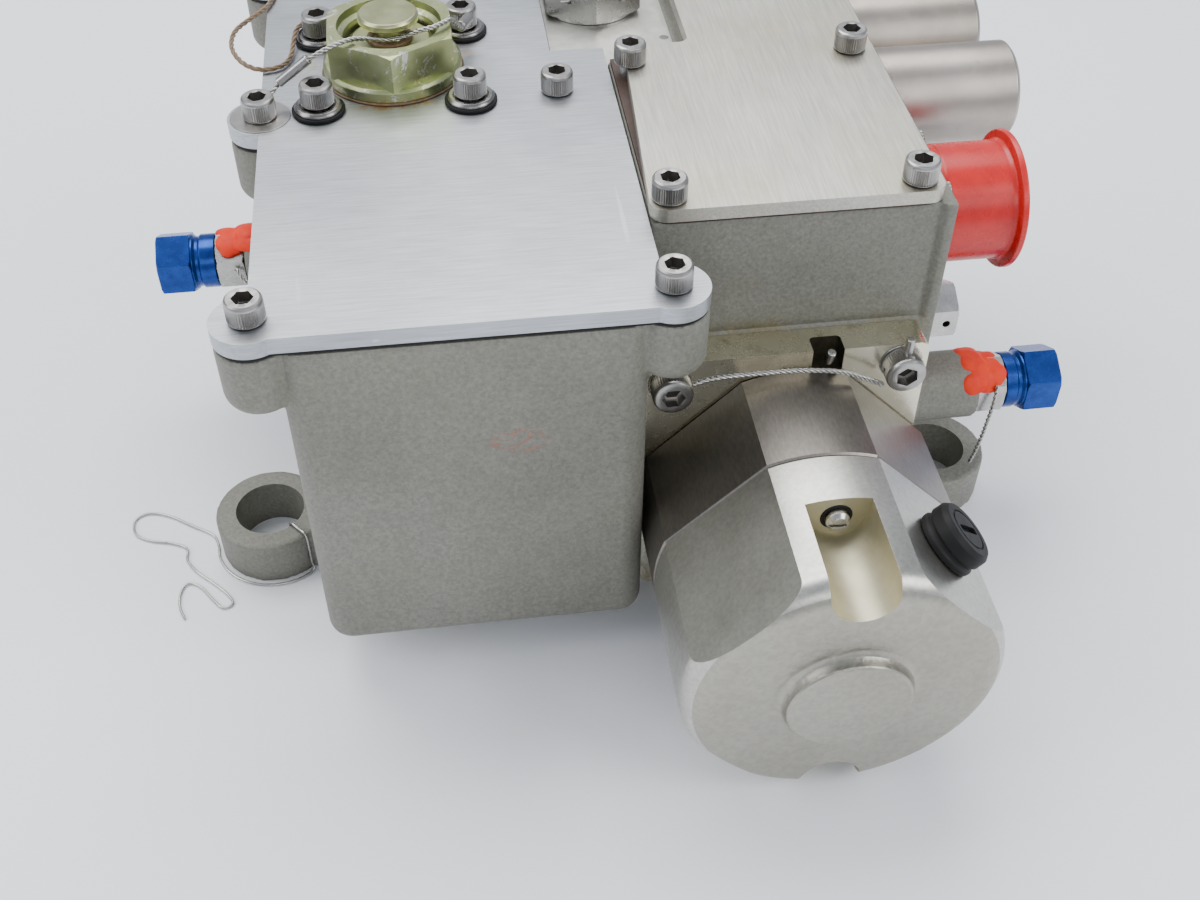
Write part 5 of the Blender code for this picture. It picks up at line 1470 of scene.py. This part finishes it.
def add_eye_cord(look):
    """The waxed cord: three strands, an eye round a filler screw, and its far end at a cover screw."""
    cord = twisted(EYE_CORD_ROUTE, CORD_DIAMETER, 3, 8.0, 0.8, 10)
    finish(cord, "waxed_cord", look, nodes=("eye_cord",), smooth=60)


def dress_hidden(looks):
    """Better finishes on the CAD nodes that stay as they are, inside the covers."""
    for name, look in looks.items():
        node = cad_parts[name]
        node.data.materials.clear()
        node.data.materials.append(look)


# ----------------------------------------------------------------------- main

add_camera()
add_studio()

STEEL = steel_look()
CABLE = steel_look("cable_steel", (0.58, 0.57, 0.54), (0.32, 0.31, 0.29), (0.22, 0.34))
DARK_SCREW = steel_look("screw_steel", (0.50, 0.485, 0.465), (0.30, 0.29, 0.275), (0.24, 0.38))
WASHER = steel_look("dished_washer", (0.34, 0.33, 0.32), (0.20, 0.19, 0.185), (0.2, 0.34))
# Near-black finish: painted shade for the screw sockets' floors and the small hole in the recess.
SOCKET = steel_look("socket_floor", (0.10, 0.09, 0.08), (0.05, 0.045, 0.04), (0.5, 0.7))
CASTING = casting_look()
BLACK = ((0.007, 0.007, 0.007), (0.004, 0.004, 0.004))
RUBBER = plain("black_rubber", *BLACK, 0.0, (0.5, 0.7), gloss=0.28)
GASKET = plain("gasket_edge", (0.060, 0.028, 0.018), (0.030, 0.016, 0.010), 0.0, (0.5, 0.7))
RESIDUE = plain("brown_residue", (0.20, 0.12, 0.05), (0.08, 0.045, 0.02), 0.0, (0.3, 0.5), 0.2, 60)
RED = plain("red_plastic", (0.66, 0.020, 0.016), (0.52, 0.012, 0.012), 0.0, (0.22, 0.34), 0.02)
BLUE = plain("blue_anodised", (0.012, 0.070, 0.34), (0.006, 0.034, 0.20), 0.7, (0.2, 0.34), 0.015)
ORANGE = ((0.88, 0.050, 0.010), (0.72, 0.022, 0.006))
PAINT = plain("orange_seal", *ORANGE, 0.0, (0.48, 0.62), 0.06, gloss=0.25)
COPPER = plain("copper_winding", (0.50, 0.22, 0.10), (0.30, 0.12, 0.06), 0.9, (0.35, 0.5))
GOLD = plain("gold_contact", (0.80, 0.58, 0.25), (0.65, 0.45, 0.18), 1.0, (0.2, 0.3))
# Near-black: painted shade for the inside of the flange's slot.
SHADE = plain("oily_slot", (0.11, 0.10, 0.065), (0.05, 0.045, 0.03), 0.8, (0.3, 0.45))
SHELL = steel_look("connector_nickel", (0.55, 0.54, 0.50), (0.40, 0.395, 0.36), (0.32, 0.46))
KNOB = plain("knob_gold", (0.52, 0.53, 0.31), (0.37, 0.385, 0.20), 0.95, (0.24, 0.38), 0.03, 12)
POCKET = plain("pocket_gold", (0.62, 0.58, 0.44), (0.48, 0.45, 0.32), 1.0, (0.46, 0.58), 0.04, 8)

add_lug_wire(CABLE)
add_eye_cord(cord_look())
add_lanyard(CABLE, DARK_SCREW)
add_flange_wire(CABLE, DARK_SCREW)
add_port_wires(CABLE)
add_tank(CASTING)
add_cover(cover_look())
add_cover_gasket(RUBBER)
add_screws(DARK_SCREW, SOCKET)
add_filler(chromate_look(), WASHER, RUBBER, RESIDUE)
add_knob(KNOB, RESIDUE)
add_manifold(CASTING)
add_lid(lid_look(), GASKET)
add_recess(plain("recess_metal", (0.62, 0.61, 0.57), (0.48, 0.47, 0.43), 0.9, (0.36, 0.5)), STEEL, SOCKET)
add_side_plug(STEEL)
CANISTER = canister_look()
for which in SOLENOIDS:
    add_solenoid(which, CANISTER, STEEL)
add_connector(SHELL, RUBBER, GOLD, DARK_SCREW)
add_dust_cap(RED)
for which in ("right", "left"):
    add_port(which, STEEL, BLUE, PAINT)
add_flange(flange_look(), STEEL, SHADE)
add_housing(dark_steel_look())
add_end_bell(bell_look(), bell_face_look(), POCKET)
add_bell_screws(STEEL, RUBBER)
add_rubber_plug(RUBBER)
dress_hidden(
    {
        "stator": COPPER,
        "rotor": STEEL,
        "front_bearing": STEEL,
        "rear_bearing": STEEL,
        "drive_gear": STEEL,
        "driven_gear": STEEL,
        "solenoid_coil_front": COPPER,
        "solenoid_coil_rear": COPPER,
        "solenoid_plunger_front": STEEL,
        "solenoid_plunger_rear": STEEL,
        "solenoid_spring_front": STEEL,
        "solenoid_spring_rear": STEEL,
    }
)
